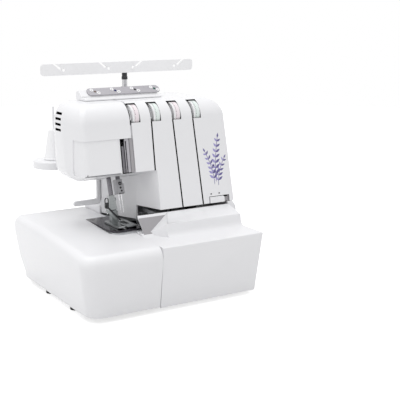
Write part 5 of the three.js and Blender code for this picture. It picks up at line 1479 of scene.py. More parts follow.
# %% Build the needle plate
plate = as_object(extruded(plate_corners(0), "Z", BED - 2.5, BED, 10))
plate_cuts = [extruded(
    rectangle(-5, NEEDLE_Y - 11, 5, NEEDLE_Y + 3, 2), "Z", BED - 4, BED + 1,
)]
FEED_ROWS, FEED_RUNS = [(-16, -13.4), (-11.6, -9)], [(84, 100), (112, 134)]
for low_x, high_x in FEED_ROWS:
    for low_y, high_y in FEED_RUNS:
        plate_cuts.append(extruded(
            rectangle(low_x - 0.5, low_y - 4, high_x + 0.5, high_y + 4, 1), "Z", BED - 4, BED + 1,
        ))
SCREW_X, SCREW_Y = -28.0, 160.0
plate_cuts.append(rod(3.4, "Z", (SCREW_X, SCREW_Y, BED - 1.2), 4, 40))
rulings = bmesh.new()
for index in range(4):
    block((2 + index * 3, PLATE_FRONT + 2, BED - 0.25),
          (2.35 + index * 3, PLATE_FRONT + 22, BED + 1), rulings)
plate_cuts.append(rulings)
combine(plate, plate_cuts)
finish(plate, "needle_plate_sheet", "machine", "dark_steel", [PLATE], ["needle_plate"], edge=0.3)

plate_screw = as_object(turned([
    (0, 0), (3, 0), (3, 0.8), (2.6, 1.2), (0, 1.2),
], "Z", (SCREW_X, SCREW_Y, BED - 0.9), 40))
# The slot keeps the black of its cutter, as painted shade.
combine(plate_screw, [as_object(moved(block((-4, -0.4, -0.35), (4, 0.4, 1)), (
    Matrix.Translation((SCREW_X, SCREW_Y, BED)) @ Matrix.Rotation(0.6, 4, "Z")
)), second=True)])
finish(plate_screw, "needle_plate_screw_head", "machine", "dark_steel", [PLATE, BLACK],
       ["needle_plate_screw"], edge=0)

# %% [markdown]
# ## Feed dogs
# Two combs carry the cloth, the front one faster or slower than the rear one. Each is a saw-tooth
# outline pulled out to the width of a row, twice, on one carrier below the plate.

# %% Build the feed dogs
def feed_comb(run, tail):
    top, pitch = BED - 0.4, 1.6
    teeth = []
    position = run[0]
    while position + pitch <= run[1] + 0.01:
        teeth += [(position, top - 0.9), (position + pitch * 0.85, top)]
        position += pitch
    row_outline = [(run[0], BED - 8)] + teeth + [(run[1], top - 0.9), (run[1], BED - 8)]
    rows = [as_object(extruded(row_outline, "X", low_x, high_x)) for low_x, high_x in FEED_ROWS]
    carrier = as_object(block((FEED_ROWS[0][0], run[0] - 1, BED - 11),
                              (FEED_ROWS[1][1], run[1] + tail, BED - 7.5)))
    return combine(carrier, rows, "UNION")


finish(feed_comb(FEED_RUNS[1], 10), "main_feed_comb", "main_feed", "steel", [STEEL],
       ["main_feed_dog"], edge=0.1)
finish(feed_comb(FEED_RUNS[0], 0), "differential_feed_comb", "differential_feed", "steel", [STEEL],
       ["differential_feed_dog"], edge=0.1)

# %% [markdown]
# ## Upper knife
# The blade that trims the cloth hangs on a shaft with a black knob, which turns it out of the way.
# The knob's grip is a ring of thin bars cut from its rim.

# %% Build the upper knife
KNIFE_X, KNIFE_Y, KNIFE_Z = 16.5, 98.0, 119.0
knob = as_object(turned([
    (0, 4), (5.2, 4), (6, 4.8), (6, 9), (5, 9.6), (5, 10.4), (6, 11), (6, 16), (5.2, 17), (0, 17),
], "X", (KNIFE_X, KNIFE_Y, KNIFE_Z), 48))
combine(knob, [rods_round(16, 0.8, 6.3, (KNIFE_X + 10.9, KNIFE_Y, KNIFE_Z), 7, 12)])
knife_shaft = as_object(rod(3, "X", (KNIFE_X + 0.5, KNIFE_Y, KNIFE_Z), 39.5, 32, 0.4))
knife_blade = as_object(extruded([
    (KNIFE_Y - 8, BED - 2), (KNIFE_Y - 6, BED - 4), (KNIFE_Y + 3.3, BED - 4, 0.5),
    (KNIFE_Y + 3.3, KNIFE_Z + 3.4, 2.5), (KNIFE_Y - 5, KNIFE_Z + 3.4, 2.5),
    (KNIFE_Y - 8, KNIFE_Z - 3, 2),
], "X", KNIFE_X + 0.4, KNIFE_X + 2), second=True)
combine(knob, [knife_shaft, knife_blade], "UNION")
finish(knob, "upper_knife_knob", "upper_knife_arm", "dark_plastic", [BLACK, STEEL], ["upper_knife"],
       edge=0.2)

# %% [markdown]
# ## Lower thread guide
# A steel plate on a sloping white holder guides the four threads to the dials: each thread passes
# two eyelets, and a coloured dot between them tells which thread it is. The holder comes first: one
# side outline whose slope is worked out from the tilt of the plate.

# %% Build the guide holder
HOLDER_LEFT, HOLDER_RIGHT = -39.0, 91.0
PLATE_TILT = math.radians(40)
GUIDE_LENGTH, GUIDE_DEPTH = 124.0, 15.0
ACROSS, RISE = GUIDE_DEPTH * math.cos(PLATE_TILT), GUIDE_DEPTH * math.sin(PLATE_TILT)
GUIDE_X, GUIDE_Y, GUIDE_PITCH = 35.0, 170.0, 34.0
GUIDE_FRONT, GUIDE_REAR = GUIDE_Y - ACROSS / 2, GUIDE_Y + ACROSS / 2
GUIDE_LOW = BODY_TOP + 0.3 + 6
GUIDE_DROP = 0.3 / math.cos(PLATE_TILT)
holder = extruded([
    (GUIDE_FRONT - 14, BODY_TOP + 0.3), (GUIDE_REAR + 8, BODY_TOP + 0.3),
    (GUIDE_REAR + 8, GUIDE_LOW + RISE - 4, 3),
    (GUIDE_REAR - 1, GUIDE_LOW + RISE - GUIDE_DROP - RISE / ACROSS),
    (GUIDE_FRONT, GUIDE_LOW - GUIDE_DROP), (GUIDE_FRONT, GUIDE_LOW - 2, 1),
    (GUIDE_FRONT - 14, GUIDE_LOW - 3, 2),
], "X", HOLDER_LEFT, HOLDER_RIGHT, 8)
finish(holder, "guide_holder_moulding", "machine", "casing", [WHITE], ["guide_holder"], edge=0.8)

# %% [markdown]
# ## Guide plate, eyelets and dots
# The plate is modelled lying flat and then laid on the slope by one matrix. Its top level is a
# little smaller, which gives it a chamfer. Eyelets and dots are placed from the same few distances.

# %% Build the guide plate
ON_GUIDE = (Matrix.Translation((GUIDE_X, GUIDE_FRONT, GUIDE_LOW))
            @ Matrix.Rotation(PLATE_TILT, 4, "X"))
half = GUIDE_LENGTH / 2


def guide_outline(inset):
    end = half - inset
    return rectangle(-end, inset, end, GUIDE_DEPTH - inset, 6 - inset)


guide_sheet = as_object(lofted([
    (0, guide_outline(0)), (1.1, guide_outline(0)), (1.4, guide_outline(0.3)),
]))
EYELETS = [
    (-half + inset + GUIDE_PITCH * group, GUIDE_DEPTH / 2 + offset)
    for group in range(4) for inset, offset in ((8, 3), (18, -3))
]
eyelet_holes = bmesh.new()
for x, y in EYELETS:
    rod(2, "Z", (x, y, -1), 4, 32, bm=eyelet_holes)
combine(guide_sheet, [eyelet_holes])
guide_sheet.data.transform(ON_GUIDE)
finish(guide_sheet, "thread_guide_sheet", "machine", "guide_steel", [GUIDE], ["thread_guide_plate"],
       edge=0)
eyelets = bmesh.new()
for x, y in EYELETS:
    turned([
        (1.0, 0.3), (2.0, 0.3), (2.0, 1.4), (2.9, 1.5), (2.8, 1.9), (1.9, 2.2), (1.1, 1.8),
        (1.0, 0.3),
    ], "Z", (x, y, 0), 32, bm=eyelets)
finish(moved(eyelets, ON_GUIDE), "guide_eyelets", "machine", "trim", [CONE_WHITE], edge=0)
for index, dot_look in enumerate(THREAD_DOTS):
    spot = (-half + 13 + GUIDE_PITCH * index, GUIDE_DEPTH / 2, 1.35)
    dot = rod(1.9, "Z", spot, 0.3, 32, 0.1)
    finish(moved(dot, ON_GUIDE), f"thread_dot_{index + 1}", "machine", "dark_plastic", [dot_look],
           edge=0)

# %% [markdown]
# ## Mast
# The telescopic mast is three turned parts, one in the other, so that it can be pushed in for
# storage. A black collar and a black cap close the gaps at the joints, as on the real thing.

# %% Build the mast
MAST_X, MAST_Y, MAST_TOP = 67.0, 229.0, 302.0
TUBE_FOOT = drawn_box("mast_outer_tube")[0].z
outer_tube = turned([
    (4.5, 0), (5.5, 0), (5.5, MAST_TOP - TUBE_FOOT - 0.5), (5, MAST_TOP - TUBE_FOOT),
    (4.5, MAST_TOP - TUBE_FOOT), (4.5, 0),
], "Z", (MAST_X, MAST_Y, TUBE_FOOT), 48)
finish(outer_tube, "mast_outer_sleeve", "machine", "steel", [CHROME], ["mast_outer_tube"], edge=0)
collar = turned([
    (5.55, 0), (6.8, 0.4), (6.8, 6.6), (6.2, 7.2), (4.6, 7.2), (4.6, 7.05), (5.55, 7.05), (5.55, 0),
], "Z", (MAST_X, MAST_Y, MAST_TOP - 6.9), 48)
finish(collar, "mast_collar", "machine", "dark_plastic", [BLACK], edge=0)
MIDDLE_FOOT, MIDDLE_TOP = (corner.z for corner in drawn_box("mast_middle_tube"))
length = MIDDLE_TOP - MIDDLE_FOOT
middle_tube = turned([
    (3.2, 0), (4.2, 0), (4.2, length - 0.4), (3.8, length), (3.2, length), (3.2, 0),
], "Z", (MAST_X, MAST_Y, MIDDLE_FOOT), 48)
finish(middle_tube, "mast_middle_sleeve", "mast_middle", "chrome", [STEEL], ["mast_middle_tube"],
       edge=0)
cap_rise = drawn_box("thread_guide_bar")[0].z - 0.4 - (MIDDLE_TOP - 4)
middle_cap = turned([
    (4.25, 0), (4.8, 0.3), (4.8, 4.4), (4.2, 5.2), (4.2, cap_rise), (3.2, cap_rise), (3.2, 4.2),
    (4.25, 4.15), (4.25, 0),
], "Z", (MAST_X, MAST_Y, MIDDLE_TOP - 4), 48)
finish(middle_cap, "mast_middle_cap", "mast_middle", "dark_plastic", [BLACK], edge=0)
ROD_FOOT, ROD_TOP = (corner.z for corner in drawn_box("mast_inner_rod"))
inner_rod = rod(2.9, "Z", (MAST_X, MAST_Y, ROD_FOOT), ROD_TOP - ROD_FOOT, 40, 0.4)
finish(inner_rod, "mast_inner_bar", "mast_inner", "chrome", [STEEL], ["mast_inner_rod"], edge=0)

# %% [markdown]
# ## Guide bar
# A long white bar on the mast holds the threads over their spools. It is a strip with one step in
# it, masked by a rounded outline. Its hooks are slanting cuts from the top edge, one over each
# spool.

# %% Build the guide bar
BAR_LEFT, BAR_RIGHT = (corner.x for corner in drawn_box("thread_guide_bar"))
BAR_FOOT, BAR_TOP = (corner.z for corner in drawn_box("thread_guide_bar"))
SHEET, BEND_X, BAR_STEP = 1.8, MAST_X + 10, 2.4
BAR_FACE = MAST_Y - 2.9 - 0.3 - SHEET
SPOOL_MIDDLE, SPOOL_PITCH = 59.0, 70.0
SPOOLS = [SPOOL_MIDDLE + (index - 1.5) * SPOOL_PITCH for index in range(4)]


def strip(left, right, face):
    return as_object(block((left, face, BAR_FOOT), (right, face + SHEET, BAR_TOP)))


bar = strip(BAR_LEFT, BEND_X, BAR_FACE)
combine(bar, [
    block((BEND_X - SHEET, BAR_FACE, BAR_FOOT),
          (BEND_X, BAR_FACE + BAR_STEP + SHEET, BAR_TOP)),
    strip(BEND_X - 0.1, BAR_RIGHT, BAR_FACE + BAR_STEP),
], "UNION")
bar_mask = as_object(extruded([
    (BAR_LEFT, BAR_FOOT + 1, 5), (BAR_LEFT + 8, BAR_FOOT, 3), (BAR_RIGHT, BAR_FOOT, 5),
    (BAR_RIGHT, BAR_TOP, 5), (BAR_LEFT, BAR_TOP, 5),
], "Y", BAR_FACE - 5, BAR_FACE + 15, 8))
combine(bar, [bar_mask], "INTERSECT")
bar_cuts = []
for index, spool in enumerate(SPOOLS):
    way = 1 if index < 2 else -1
    x = spool + way * (2 if index in (0, 3) else 9)
    bar_cuts.append(extruded([
        (x - way * 15, BAR_TOP + 1), (x - way * 11, BAR_TOP + 1), (x, BAR_TOP - 7.5, 1),
        (x - way * 2.5, BAR_TOP - 9.5, 1),
    ], "Y", BAR_FACE - 5, BAR_FACE + 15))
    bar_cuts.append(rod(2.2, "Y", (x + way * 4, BAR_FACE - 5, BAR_FOOT + 8), 20, 32))
combine(bar, bar_cuts)
boss = as_object(block((MAST_X - 7, BAR_FACE + SHEET - 0.1, BAR_FOOT),
                       (MAST_X + 7, MAST_Y + 5.9, BAR_TOP)))
combine(boss, [rod(3.2, "Z", (MAST_X, MAST_Y, BAR_FOOT - 1), 15.3, 32)])
combine(bar, [boss], "UNION")
finish(bar, "thread_guide_bar_sheet", "guide_bar", "trim", [CONE_WHITE], ["thread_guide_bar"],
       edge=0.35)

# %% [markdown]
# ## Spool stand
# A long tray behind the machine carries four spool pins. Its ends are half circles and its top edge
# is rounded, so the outline is extruded and that one edge is bevelled. Seats, pins and the boss of
# the mast are joined to it, because they are moulded or pressed into one part.

# %% Build the stand
STAND_LEFT, STAND_RIGHT = (corner.x for corner in drawn_box("spool_stand"))
STAND_ROW, STAND_TOP, STAND_FOOT, STAND_HALF = 258.0, 190.0, 178.0, 32.0
PIN_TOP = drawn_box("spool_stand")[1].z


def stand_plan(inset):
    return rectangle(
        STAND_LEFT + inset, STAND_ROW - STAND_HALF + inset,
        STAND_RIGHT - inset, STAND_ROW + STAND_HALF - inset, 30 - inset,
    )


stand = extruded(stand_plan(0), "Z", STAND_FOOT, STAND_TOP, 16)
bevelled(stand, edges_where(stand, lambda p: p.z > STAND_TOP - 0.1), 2.4, 5)
stand = as_object(stand)
combine(stand, [extruded(stand_plan(SHELL), "Z", STAND_FOOT - 1, STAND_TOP - SHELL, 16)])
mast_boss = combine(rod(8.5, "Z", (MAST_X, MAST_Y, STAND_FOOT), 11, 48), [
    block((MAST_X - 12, STAND_ROW - STAND_HALF - 10, STAND_FOOT - 1),
          (MAST_X + 12, STAND_ROW - STAND_HALF, STAND_TOP)),
])
pin_seats = [rod(6, "Z", (x, STAND_ROW, STAND_FOOT), 11, 32) for x in SPOOLS]
pins = [turned([
    (0, 0), (2, 0), (2, PIN_TOP - STAND_FOOT - 1.4), (1.5, PIN_TOP - STAND_FOOT - 0.4),
    (0.6, PIN_TOP - STAND_FOOT), (0, PIN_TOP - STAND_FOOT),
], "Z", (x, STAND_ROW, STAND_FOOT), 24) for x in SPOOLS]
combine(stand, [mast_boss, *pin_seats, *pins], "UNION")
combine(stand, [rod(5.8, "Z", (MAST_X, MAST_Y, STAND_FOOT - 1), 14, 48)])
finish(stand, "spool_stand_tray", "machine", "casing", [WHITE], ["spool_stand"], edge=0.3)

# %% [markdown]
# ## Cone holders
# Each pin holds a soft cone that keeps a cone of thread from wobbling: a lathe shape with a thin
# slit down its front, so that it can give a little.

# %% Build the cone holders
for index, x in enumerate(SPOOLS):
    cone = as_object(turned([
        (0, 0), (16.6, 0), (17, 0.5), (17, 2), (16.4, 2.6), (15.9, 4), (9.2, 45), (8.6, 46.8),
        (7.2, 48), (0, 48),
    ], "Z", (x, STAND_ROW, STAND_TOP + 0.3), 64))
    cone_cuts = [
        block((x - 1.2, STAND_ROW - 20, STAND_TOP - 1),
              (x + 1.2, STAND_ROW - 4, STAND_TOP + 38)),
        rod(2.3, "Z", (x, STAND_ROW, STAND_TOP - 1), 50, 32),
    ]
    combine(cone, cone_cuts)
    finish(cone, f"spool_cone_{index + 1}_shape", "machine", "casing", [CONE_WHITE],
           [f"spool_cone_{index + 1}"], edge=0.2)

# %% [markdown]
# ## Bracket of the stand
# A bent steel sheet carries the stand. Its side view is one outline with a rounded bend, and two
# domed screws fix it to the back of the machine.

# %% Build the bracket
BRACKET_TOP = STAND_FOOT - 0.3
bracket = as_object(extruded([
    (BODY_REAR + 0.3, BRACKET_TOP - 30, 0.5), (BODY_REAR + 0.3, BRACKET_TOP, 4),
    (STAND_ROW + 20, BRACKET_TOP), (STAND_ROW + 20, BRACKET_TOP - 3),
    (BODY_REAR + 3.3, BRACKET_TOP - 3, 1), (BODY_REAR + 3.3, BRACKET_TOP - 30, 0.5),
], "X", MAST_X - 50, MAST_X + 50))
bracket_screws = [
    turned([(0, 0), (4, 0), (4, 1.2), (2.8, 2.2), (0, 2.4)], "Y",
           (x, BODY_REAR + 3.2, BRACKET_TOP - 17), 32)
    for x in (MAST_X - 36, MAST_X + 36)
]
combine(bracket, bracket_screws, "UNION")
finish(bracket, "stand_bracket_sheet", "machine", "steel", [STEEL], ["stand_bracket"], edge=0.25)

# %% [markdown]
# ## Handwheel
# The handwheel turns the main shaft by hand. It is a lathe shape with a dished face, and a ring of
# bars cuts the finger flutes all round its rim.

# %% Build the handwheel
WHEEL_LEFT, WHEEL_RADIUS = drawn_box("handwheel")[0].x, 38.0
wheel = as_object(turned([
    (6.3, 0), (33, 0), (36.4, 0.9), (38, 3), (38, 24), (37.2, 26.6), (33.4, 29.6), (31.5, 30),
    (28.6, 30), (27, 29.4), (25, 26), (16, 25.2), (14.5, 26.6), (12.5, 26.6), (11.5, 25), (6.3, 25),
    (6.3, 0),
], "X", (WHEEL_LEFT, SHAFT_Y, SHAFT_Z), 112))
flutes = rods_round(28, 2.6, WHEEL_RADIUS + 1.6, (WHEEL_LEFT + 6, SHAFT_Y, SHAFT_Z), 26, 20)
combine(wheel, [flutes])
finish(wheel, "handwheel_rim", "drive", "casing", [WHITE], ["handwheel"], edge=0.3)

# %% [markdown]
# ## Side dials
# Stitch length and feed are set by two dials that stand out of the side cover. One function makes
# both: a fluted disc, a black pointer cut into its face and a spindle.

# %% Build the side dials
def side_dial(name, z, body_name, node):
    dial = as_object(turned([
        (0, 0), (13, 0), (14, 1), (14, 8.5), (13.2, 10.4), (12, 11), (0, 11),
    ], "X", (BODY_RIGHT + 0.5, SIDE_DIAL_Y, z), 80))
    dial_flutes = rods_round(20, 1.3, 14.7, (BODY_RIGHT + 3, SIDE_DIAL_Y, z), 10, 14, 0.5)
    pointer = as_object(extruded([
        (SIDE_DIAL_Y - 0.8, z + 3), (SIDE_DIAL_Y + 0.8, z + 3), (SIDE_DIAL_Y + 0.5, z + 11.5, 0.4),
        (SIDE_DIAL_Y - 0.5, z + 11.5, 0.4),
    ], "X", BODY_RIGHT + 11, BODY_RIGHT + 13), second=True)
    combine(dial, [dial_flutes, pointer])
    spindle = as_object(rod(3, "X", (BODY_RIGHT - 12, SIDE_DIAL_Y, z), 13.5, 24, 0.3))
    combine(dial, [spindle], "UNION")
    finish(dial, name, body_name, "trim", [TRIM, INK], [node], edge=0.25)


side_dial("stitch_dial_knob", STITCH_Z, "stitch_dial", "stitch_length_dial")
side_dial("feed_dial_knob", FEED_Z, "feed_dial", "differential_dial")

# %% [markdown]
# ## Numbers of the side dials
# Each dial has its settings printed in an arc above it, spread evenly over 80 degrees. Flat words
# are turned twice to stand on the side and be read from there.

# %% Print the numbers
def on_side(y, z, depth):
    """Turns flat words onto the right-hand side, to be read from there."""
    turn = Matrix.Rotation(math.pi / 2, 4, "Z") @ Matrix.Rotation(math.pi / 2, 4, "X")
    return Matrix.Translation((depth, y, z)) @ turn


SCALE_RADIUS = 17.6
scales = []
for z, labels in ((STITCH_Z, ("R", "1", "2", "3", "4")), (FEED_Z, ("0.5", "1", "1.5", "2"))):
    for index, label in enumerate(labels):
        angle = math.radians(-40 + 80 * index / (len(labels) - 1))
        scales.append(printed(label, 3.4, on_side(
            SIDE_DIAL_Y + SCALE_RADIUS * math.sin(angle), z + SCALE_RADIUS * math.cos(angle),
            BODY_RIGHT + 0.01,
        )))
finish(gathered(scales), "side_dial_numbers", "machine", "dark_plastic", [INK], edge=0)

# %% [markdown]
# ## Power inlet
# The mains plug goes into a black moulding with three pins. Its pocket has two cut corners, so that
# the plug fits one way only, and a second pocket beside it holds the switch.

# %% Build the power inlet
PANEL_FACE = BODY_RIGHT + 1.2
ROCKER_Y, ROCKER_Z = PANEL_Y[1] - 22, PANEL_Z[0] + 4.5
inlet = as_object(extruded(
    rectangle(PANEL_Y[0], PANEL_Z[0], PANEL_Y[1], PANEL_Z[1], 2.5), "X",
    BODY_RIGHT - 14, PANEL_FACE,
))
inlet_pocket = as_object(extruded([
    (PANEL_Y[0] + 5, PANEL_Z[0] + 5, 1), (PANEL_Y[0] + 31, PANEL_Z[0] + 5, 1),
    (PANEL_Y[0] + 31, PANEL_Z[1] - 9), (PANEL_Y[0] + 26, PANEL_Z[1] - 5),
    (PANEL_Y[0] + 10, PANEL_Z[1] - 5), (PANEL_Y[0] + 5, PANEL_Z[1] - 9),
], "X", PANEL_FACE - 11, PANEL_FACE + 1))
rocker_pocket = as_object(block((PANEL_FACE - 9, ROCKER_Y, ROCKER_Z),
                                (PANEL_FACE + 1, ROCKER_Y + 14, ROCKER_Z + 19)))
combine(inlet, [inlet_pocket, rocker_pocket])
contacts = [
    as_object(rod(1.4, "X", (PANEL_FACE - 12, PANEL_Y[0] + 11 + 7 * index, PANEL_Z[0] + 14),
                  8, 20, 0.5), second=True)
    for index in range(3)
]
combine(inlet, contacts, "UNION")
finish(inlet, "power_inlet_moulding", "machine", "dark_plastic", [BLACK, STEEL], ["power_inlet"],
       edge=0.4)

# %% [markdown]
# ## Rocker switch
# The key is one outline, hollow in the middle where the finger rests, and it tilts in its pocket.
# Its two symbols lean with the two halves of its face.

# %% Build the rocker switch
ROCKER_MIDDLE = ROCKER_Z + 9.5
rocker = as_object(extruded([
    (PANEL_FACE - 7, ROCKER_MIDDLE - 3), (PANEL_FACE + 0.5, ROCKER_MIDDLE - 8.5),
    (PANEL_FACE + 2.5, ROCKER_MIDDLE - 8.5, 0.6), (PANEL_FACE + 1.2, ROCKER_MIDDLE, 12),
    (PANEL_FACE + 2.5, ROCKER_MIDDLE + 8.5, 0.6), (PANEL_FACE + 0.5, ROCKER_MIDDLE + 8.5),
    (PANEL_FACE - 7, ROCKER_MIDDLE + 3),
], "Y", ROCKER_Y + 0.5, ROCKER_Y + 13.5))
finish(rocker, "rocker_key", "rocker", "dark_plastic", [BLACK], ["power_rocker"], edge=0.3)

key_lean = math.atan2(1.3, 8.5)
symbols = gathered([
    printed("I", 4.2, on_side(ROCKER_Y + 7, ROCKER_MIDDLE + 5.2, PANEL_FACE + 2.02)
            @ Matrix.Rotation(key_lean, 4, "X")),
    printed("O", 4.2, on_side(ROCKER_Y + 7, ROCKER_MIDDLE - 5.2, PANEL_FACE + 2.02)
            @ Matrix.Rotation(-key_lean, 4, "X")),
])
finish(symbols, "rocker_symbols", "rocker", "dark_plastic", [CONE_WHITE], edge=0)

# %% [markdown]
# ## Printed sprig
# The right-hand panel carries a small printed decoration. A plain sprig of leaves in two lavender
# tones is generic and belongs to nobody. Every leaf is the same lens: a kite whose two side corners
# are rounded, pulled out to the thickness of ink. The shapes are laid on the leaning face.

# %% Leaves and stems
INK_HEIGHT = 0.12


def on_panel(bm):
    """Bends a flat print (x, z) back onto the leaning front face."""
    for vert in bm.verts:
        vert.co.y += face_y(vert.co.z) - INK_HEIGHT * 0.6
    return bm


def leaf(x, z, angle, length, width):
    shape = extruded([
        (0, 0), (length * 0.45, -width / 2, length * 0.4), (length, 0),
        (length * 0.45, width / 2, length * 0.4),
    ], "Y", 0, INK_HEIGHT, 6)
    turn = Matrix.Rotation(-math.radians(angle), 4, "Y")
    return moved(shape, Matrix.Translation((x, 0, z)) @ turn)


def stem(points, width):
    """A thin strip through points, as one quad per stretch."""
    stretches = []
    for (x0, z0), (x1, z1) in zip(points, points[1:]):
        along = Vector((x1 - x0, z1 - z0))
        side_step = Vector((-along.y, along.x)).normalized() * width / 2
        stretches.append(extruded([
            (x0 + side_step.x, z0 + side_step.y), (x1 + side_step.x, z1 + side_step.y),
            (x1 - side_step.x, z1 - side_step.y), (x0 - side_step.x, z0 - side_step.y),
        ], "Y", 0.02, INK_HEIGHT * 0.8))
    return stretches


print("ink stands", INK_HEIGHT, "mm high")

# %% [markdown]
# ## One stem, three times
# A stem sways to one side like a bent blade of grass, and its leaves stand in pairs that grow
# smaller upwards: the dark leaf of a pair on one side, the pale one on the other. Three stems make
# the spray.

# %% Build the sprig
def sprig(root_x, root_z, height, sway, pairs, size):
    """One stem that sways to a side, with leaves in pairs that grow smaller upwards."""
    def at(share):
        return (root_x + sway * share * share, root_z + height * share)
    dark_shapes = stem([at(step / 8) for step in range(9)], 0.9 * size)
    pale_shapes = []
    for pair in range(pairs):
        share = 0.18 + 0.74 * pair / (pairs - 1)
        x, z = at(share)
        heading = 90 - math.degrees(math.atan2(2 * sway * share, height))
        length, width = (12 - 5 * share) * size, (5.4 - 1.8 * share) * size
        dark_shapes.append(leaf(x, z, heading - 48, length, width))
        pale_shapes.append(leaf(x, z, heading + 48, length * 0.94, width))
    tip_heading = 90 - math.degrees(math.atan2(2 * sway, height))
    dark_shapes.append(leaf(*at(1.0), tip_heading, 8 * size, 3.4 * size))
    return dark_shapes, pale_shapes


PANEL_MIDDLE = (HEAD_RIGHT + 114 + BODY_RIGHT) / 2
dark_parts, pale_parts = [], []
for root_x, root_z, height, sway, pairs, size in (
    (PANEL_MIDDLE - 1, BODY_BOTTOM + 30, 66, 8, 7, 1.05),
    (PANEL_MIDDLE - 4, BODY_BOTTOM + 26, 50, -13, 6, 0.95),
    (PANEL_MIDDLE + 3, BODY_BOTTOM + 24, 40, 13, 5, 0.9),
):
    dark_shapes, pale_shapes = sprig(root_x, root_z, height, sway, pairs, size)
    dark_parts += dark_shapes
    pale_parts += pale_shapes
finish(on_panel(gathered(dark_parts)), "sprig_dark", "machine", "trim", [LAVENDER], edge=0)
finish(on_panel(gathered(pale_parts)), "sprig_pale", "machine", "trim", [PALE_LAVENDER], edge=0)

# %% [markdown]
# ## CAD shapes with softer edges
# The inside is right as it is in the CAD. Four parts of it show through the openings, so their
# edges should catch the light: they are copied, welded and given a small bevel, and the copies
# stand in for the originals.

# %% Copy and soften the CAD shapes that show
def copied(node):
    """A welded copy of a CAD node, back in millimetres on the drawing."""
    shape = bmesh.new()
    shape.from_mesh(nodes[node].data)
    bmesh.ops.remove_doubles(shape, verts=shape.verts, dist=2e-6)
    shape.transform(TO_DRAWING)
    return shape


for node, body_name, slot_name, finish_look, softness in (
    ("take_up_lever", "needle_drive", "chrome", CHROME, 0.4),
    ("lower_looper", "lower_looper_arm", "steel", STEEL, 0.3),
    ("upper_looper", "upper_looper_arm", "steel", STEEL, 0.3),
    ("knife_holder", "machine", "cast_aluminium", CAST, 0.4),
):
    finish(copied(node), f"{node}_soft", body_name, slot_name, [finish_look], [node], edge=softness)

# %% [markdown]
# ## Parts that stay as the CAD has them
# The frame, the shaft, the motor and the rest stay and only get their finishes. A table of names is
# enough, because each of them is made of one material.

# %% Finishes of the parts that stay
STAYING = {
    "frame_casting": CAST, "base_tray": WHITE, "rubber_foot_1": RUBBER, "rubber_foot_2": RUBBER,
    "rubber_foot_3": RUBBER, "rubber_foot_4": RUBBER, "main_shaft": STEEL, "main_pulley": CAST,
    "motor_pulley": STEEL, "motor": PLATE, "drive_belt": RUBBER, "cover_hinge_pin": STEEL,
    "lower_knife": STEEL, "tension_axle": CHROME,
}
for node, node_look in STAYING.items():
    for place in nodes[node].material_slots:
        place.material = node_look
print("kept from the CAD:", len(STAYING))
left_over = [
    name for name, node in nodes.items()
    if name not in STAYING and not node.get("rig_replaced") and not node.hide_render
]
print("nodes without a finish here:", left_over)

# %% [markdown]
# ## Camera
# The camera stands where the machine is seen from its front left, a little above the casing. A long
# lens keeps the upright edges nearly parallel, as in a catalogue.

# %% Camera
camera_data = bpy.data.cameras.new("camera")
camera = bpy.data.objects.new("camera", camera_data)
bpy.context.scene.collection.objects.link(camera)
camera_data.lens = 80.8
camera_data.sensor_width = 36
camera_data.clip_end = 50
camera.location = DRAWING @ Vector((-597.5, -1068.2, 432.0))
heading, pitch = math.radians(31.9), math.radians(12.3)
camera.rotation_euler = (math.pi / 2 - pitch, 0, -heading)
bpy.context.scene.camera = camera
print("lens", camera_data.lens, "mm")

# %% [markdown]
# ## Lights
# A glossy white casing needs broad soft light. One broad panel hangs above the machine, and a weak
# window at the left models the leaning fronts.

# %% Lights
def area_light(name, place, aim, size, power):
    data = bpy.data.lights.new(name, "AREA")
    data.shape = "RECTANGLE"
    data.size, data.size_y = size
    data.energy = power
    lamp = bpy.data.objects.new(name, data)
    lamp.location = place
    lamp.rotation_euler = (Vector(aim) - Vector(place)).to_track_quat("-Z", "Y").to_euler()
    bpy.context.scene.collection.objects.link(lamp)
    return lamp


area_light("panel above", (-0.3, 0.1, 2.0), (0, 0, 0.15), (1.8, 1.8), 13.5)
area_light("window at the left", (-1.9, -0.7, 0.8), (0, 0, 0.15), (1.4, 1.4), 2.5)
print("lights:", len(bpy.data.lights))

# %% [markdown]
# ## Room
# The room is a pale world. Its light can be a little dimmer than what the camera and the mirrors
# see of it, so that the background stays white while white plastic still shows its shading.

# %% World
world = bpy.data.worlds.new("room")
bpy.context.scene.world = world
world.use_nodes = True
tree = world.node_tree
ambient = tree.nodes["Background"]
set_inputs(ambient, {"Color": (1, 1, 1, 1), "Strength": 0.93})
backdrop = add_node(tree, "Background", {"Color": (1, 1, 1, 1), "Strength": 1.0})


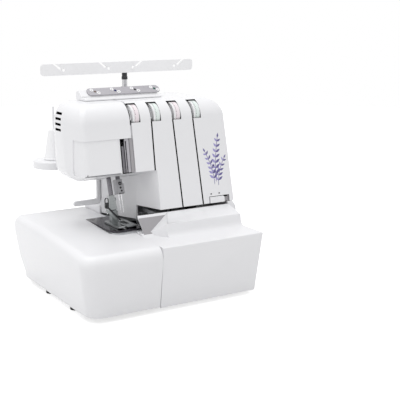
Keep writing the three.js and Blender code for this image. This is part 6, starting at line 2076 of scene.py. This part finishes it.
def white_rays(tree):
    """1 for rays from the camera and for reflections, which show the white room."""
    rays = add_node(tree, "LightPath")
    mirror, either = add_node(tree, "Math"), add_node(tree, "Math")
    mirror.operation = either.operation = "MAXIMUM"
    tree.links.new(rays.outputs["Is Glossy Ray"], mirror.inputs[0])
    tree.links.new(rays.outputs["Is Transmission Ray"], mirror.inputs[1])
    tree.links.new(rays.outputs["Is Camera Ray"], either.inputs[0])
    tree.links.new(mirror.outputs[0], either.inputs[1])
    return either.outputs[0]


seen = add_node(tree, "MixShader")
tree.links.new(white_rays(tree), seen.inputs["Fac"])
tree.links.new(ambient.outputs["Background"], seen.inputs[1])
tree.links.new(backdrop.outputs["Background"], seen.inputs[2])
tree.links.new(seen.outputs["Shader"], tree.nodes["World Output"].inputs["Surface"])
print("world:", world.name)

# %% [markdown]
# ## Floor
# The floor is white in the open and keeps the machine's soft shadow. Its glow is only there for the
# camera and for mirrors, so it lights nothing from below.

# %% Floor
FLOOR_RADIUS = 2.6
floor_bm = bmesh.new()
bmesh.ops.create_circle(floor_bm, cap_ends=True, segments=96, radius=FLOOR_RADIUS)
floor_mesh = bpy.data.meshes.new("floor")
floor_bm.to_mesh(floor_mesh)
floor_bm.free()
floor = bpy.data.objects.new("floor", floor_mesh)
bpy.context.scene.collection.objects.link(floor)
floor_look = bpy.data.materials.new("white floor")
floor_look.use_nodes = True
tree = floor_look.node_tree
matt = tree.nodes["Principled BSDF"]
set_inputs(matt, {
    "Base Color": (0.66, 0.66, 0.66, 1), "Roughness": 0.9, "Specular IOR Level": 0.1,
})
glow = add_node(tree, "Emission", {"Strength": 0.68})
both, only = add_node(tree, "AddShader"), add_node(tree, "MixShader")
tree.links.new(matt.outputs["BSDF"], both.inputs[0])
tree.links.new(glow.outputs["Emission"], both.inputs[1])
tree.links.new(white_rays(tree), only.inputs["Fac"])
tree.links.new(matt.outputs["BSDF"], only.inputs[1])
tree.links.new(both.outputs["Shader"], only.inputs[2])
tree.links.new(only.outputs["Shader"], tree.nodes["Material Output"].inputs["Surface"])
floor_mesh.materials.append(floor_look)
bpy.context.scene.view_settings.view_transform = "Standard"
print("floor radius", FLOOR_RADIUS, "m")

# %% Finish
print("pieces made:", len(pieces))
bpy.data.collections.remove(scratch)
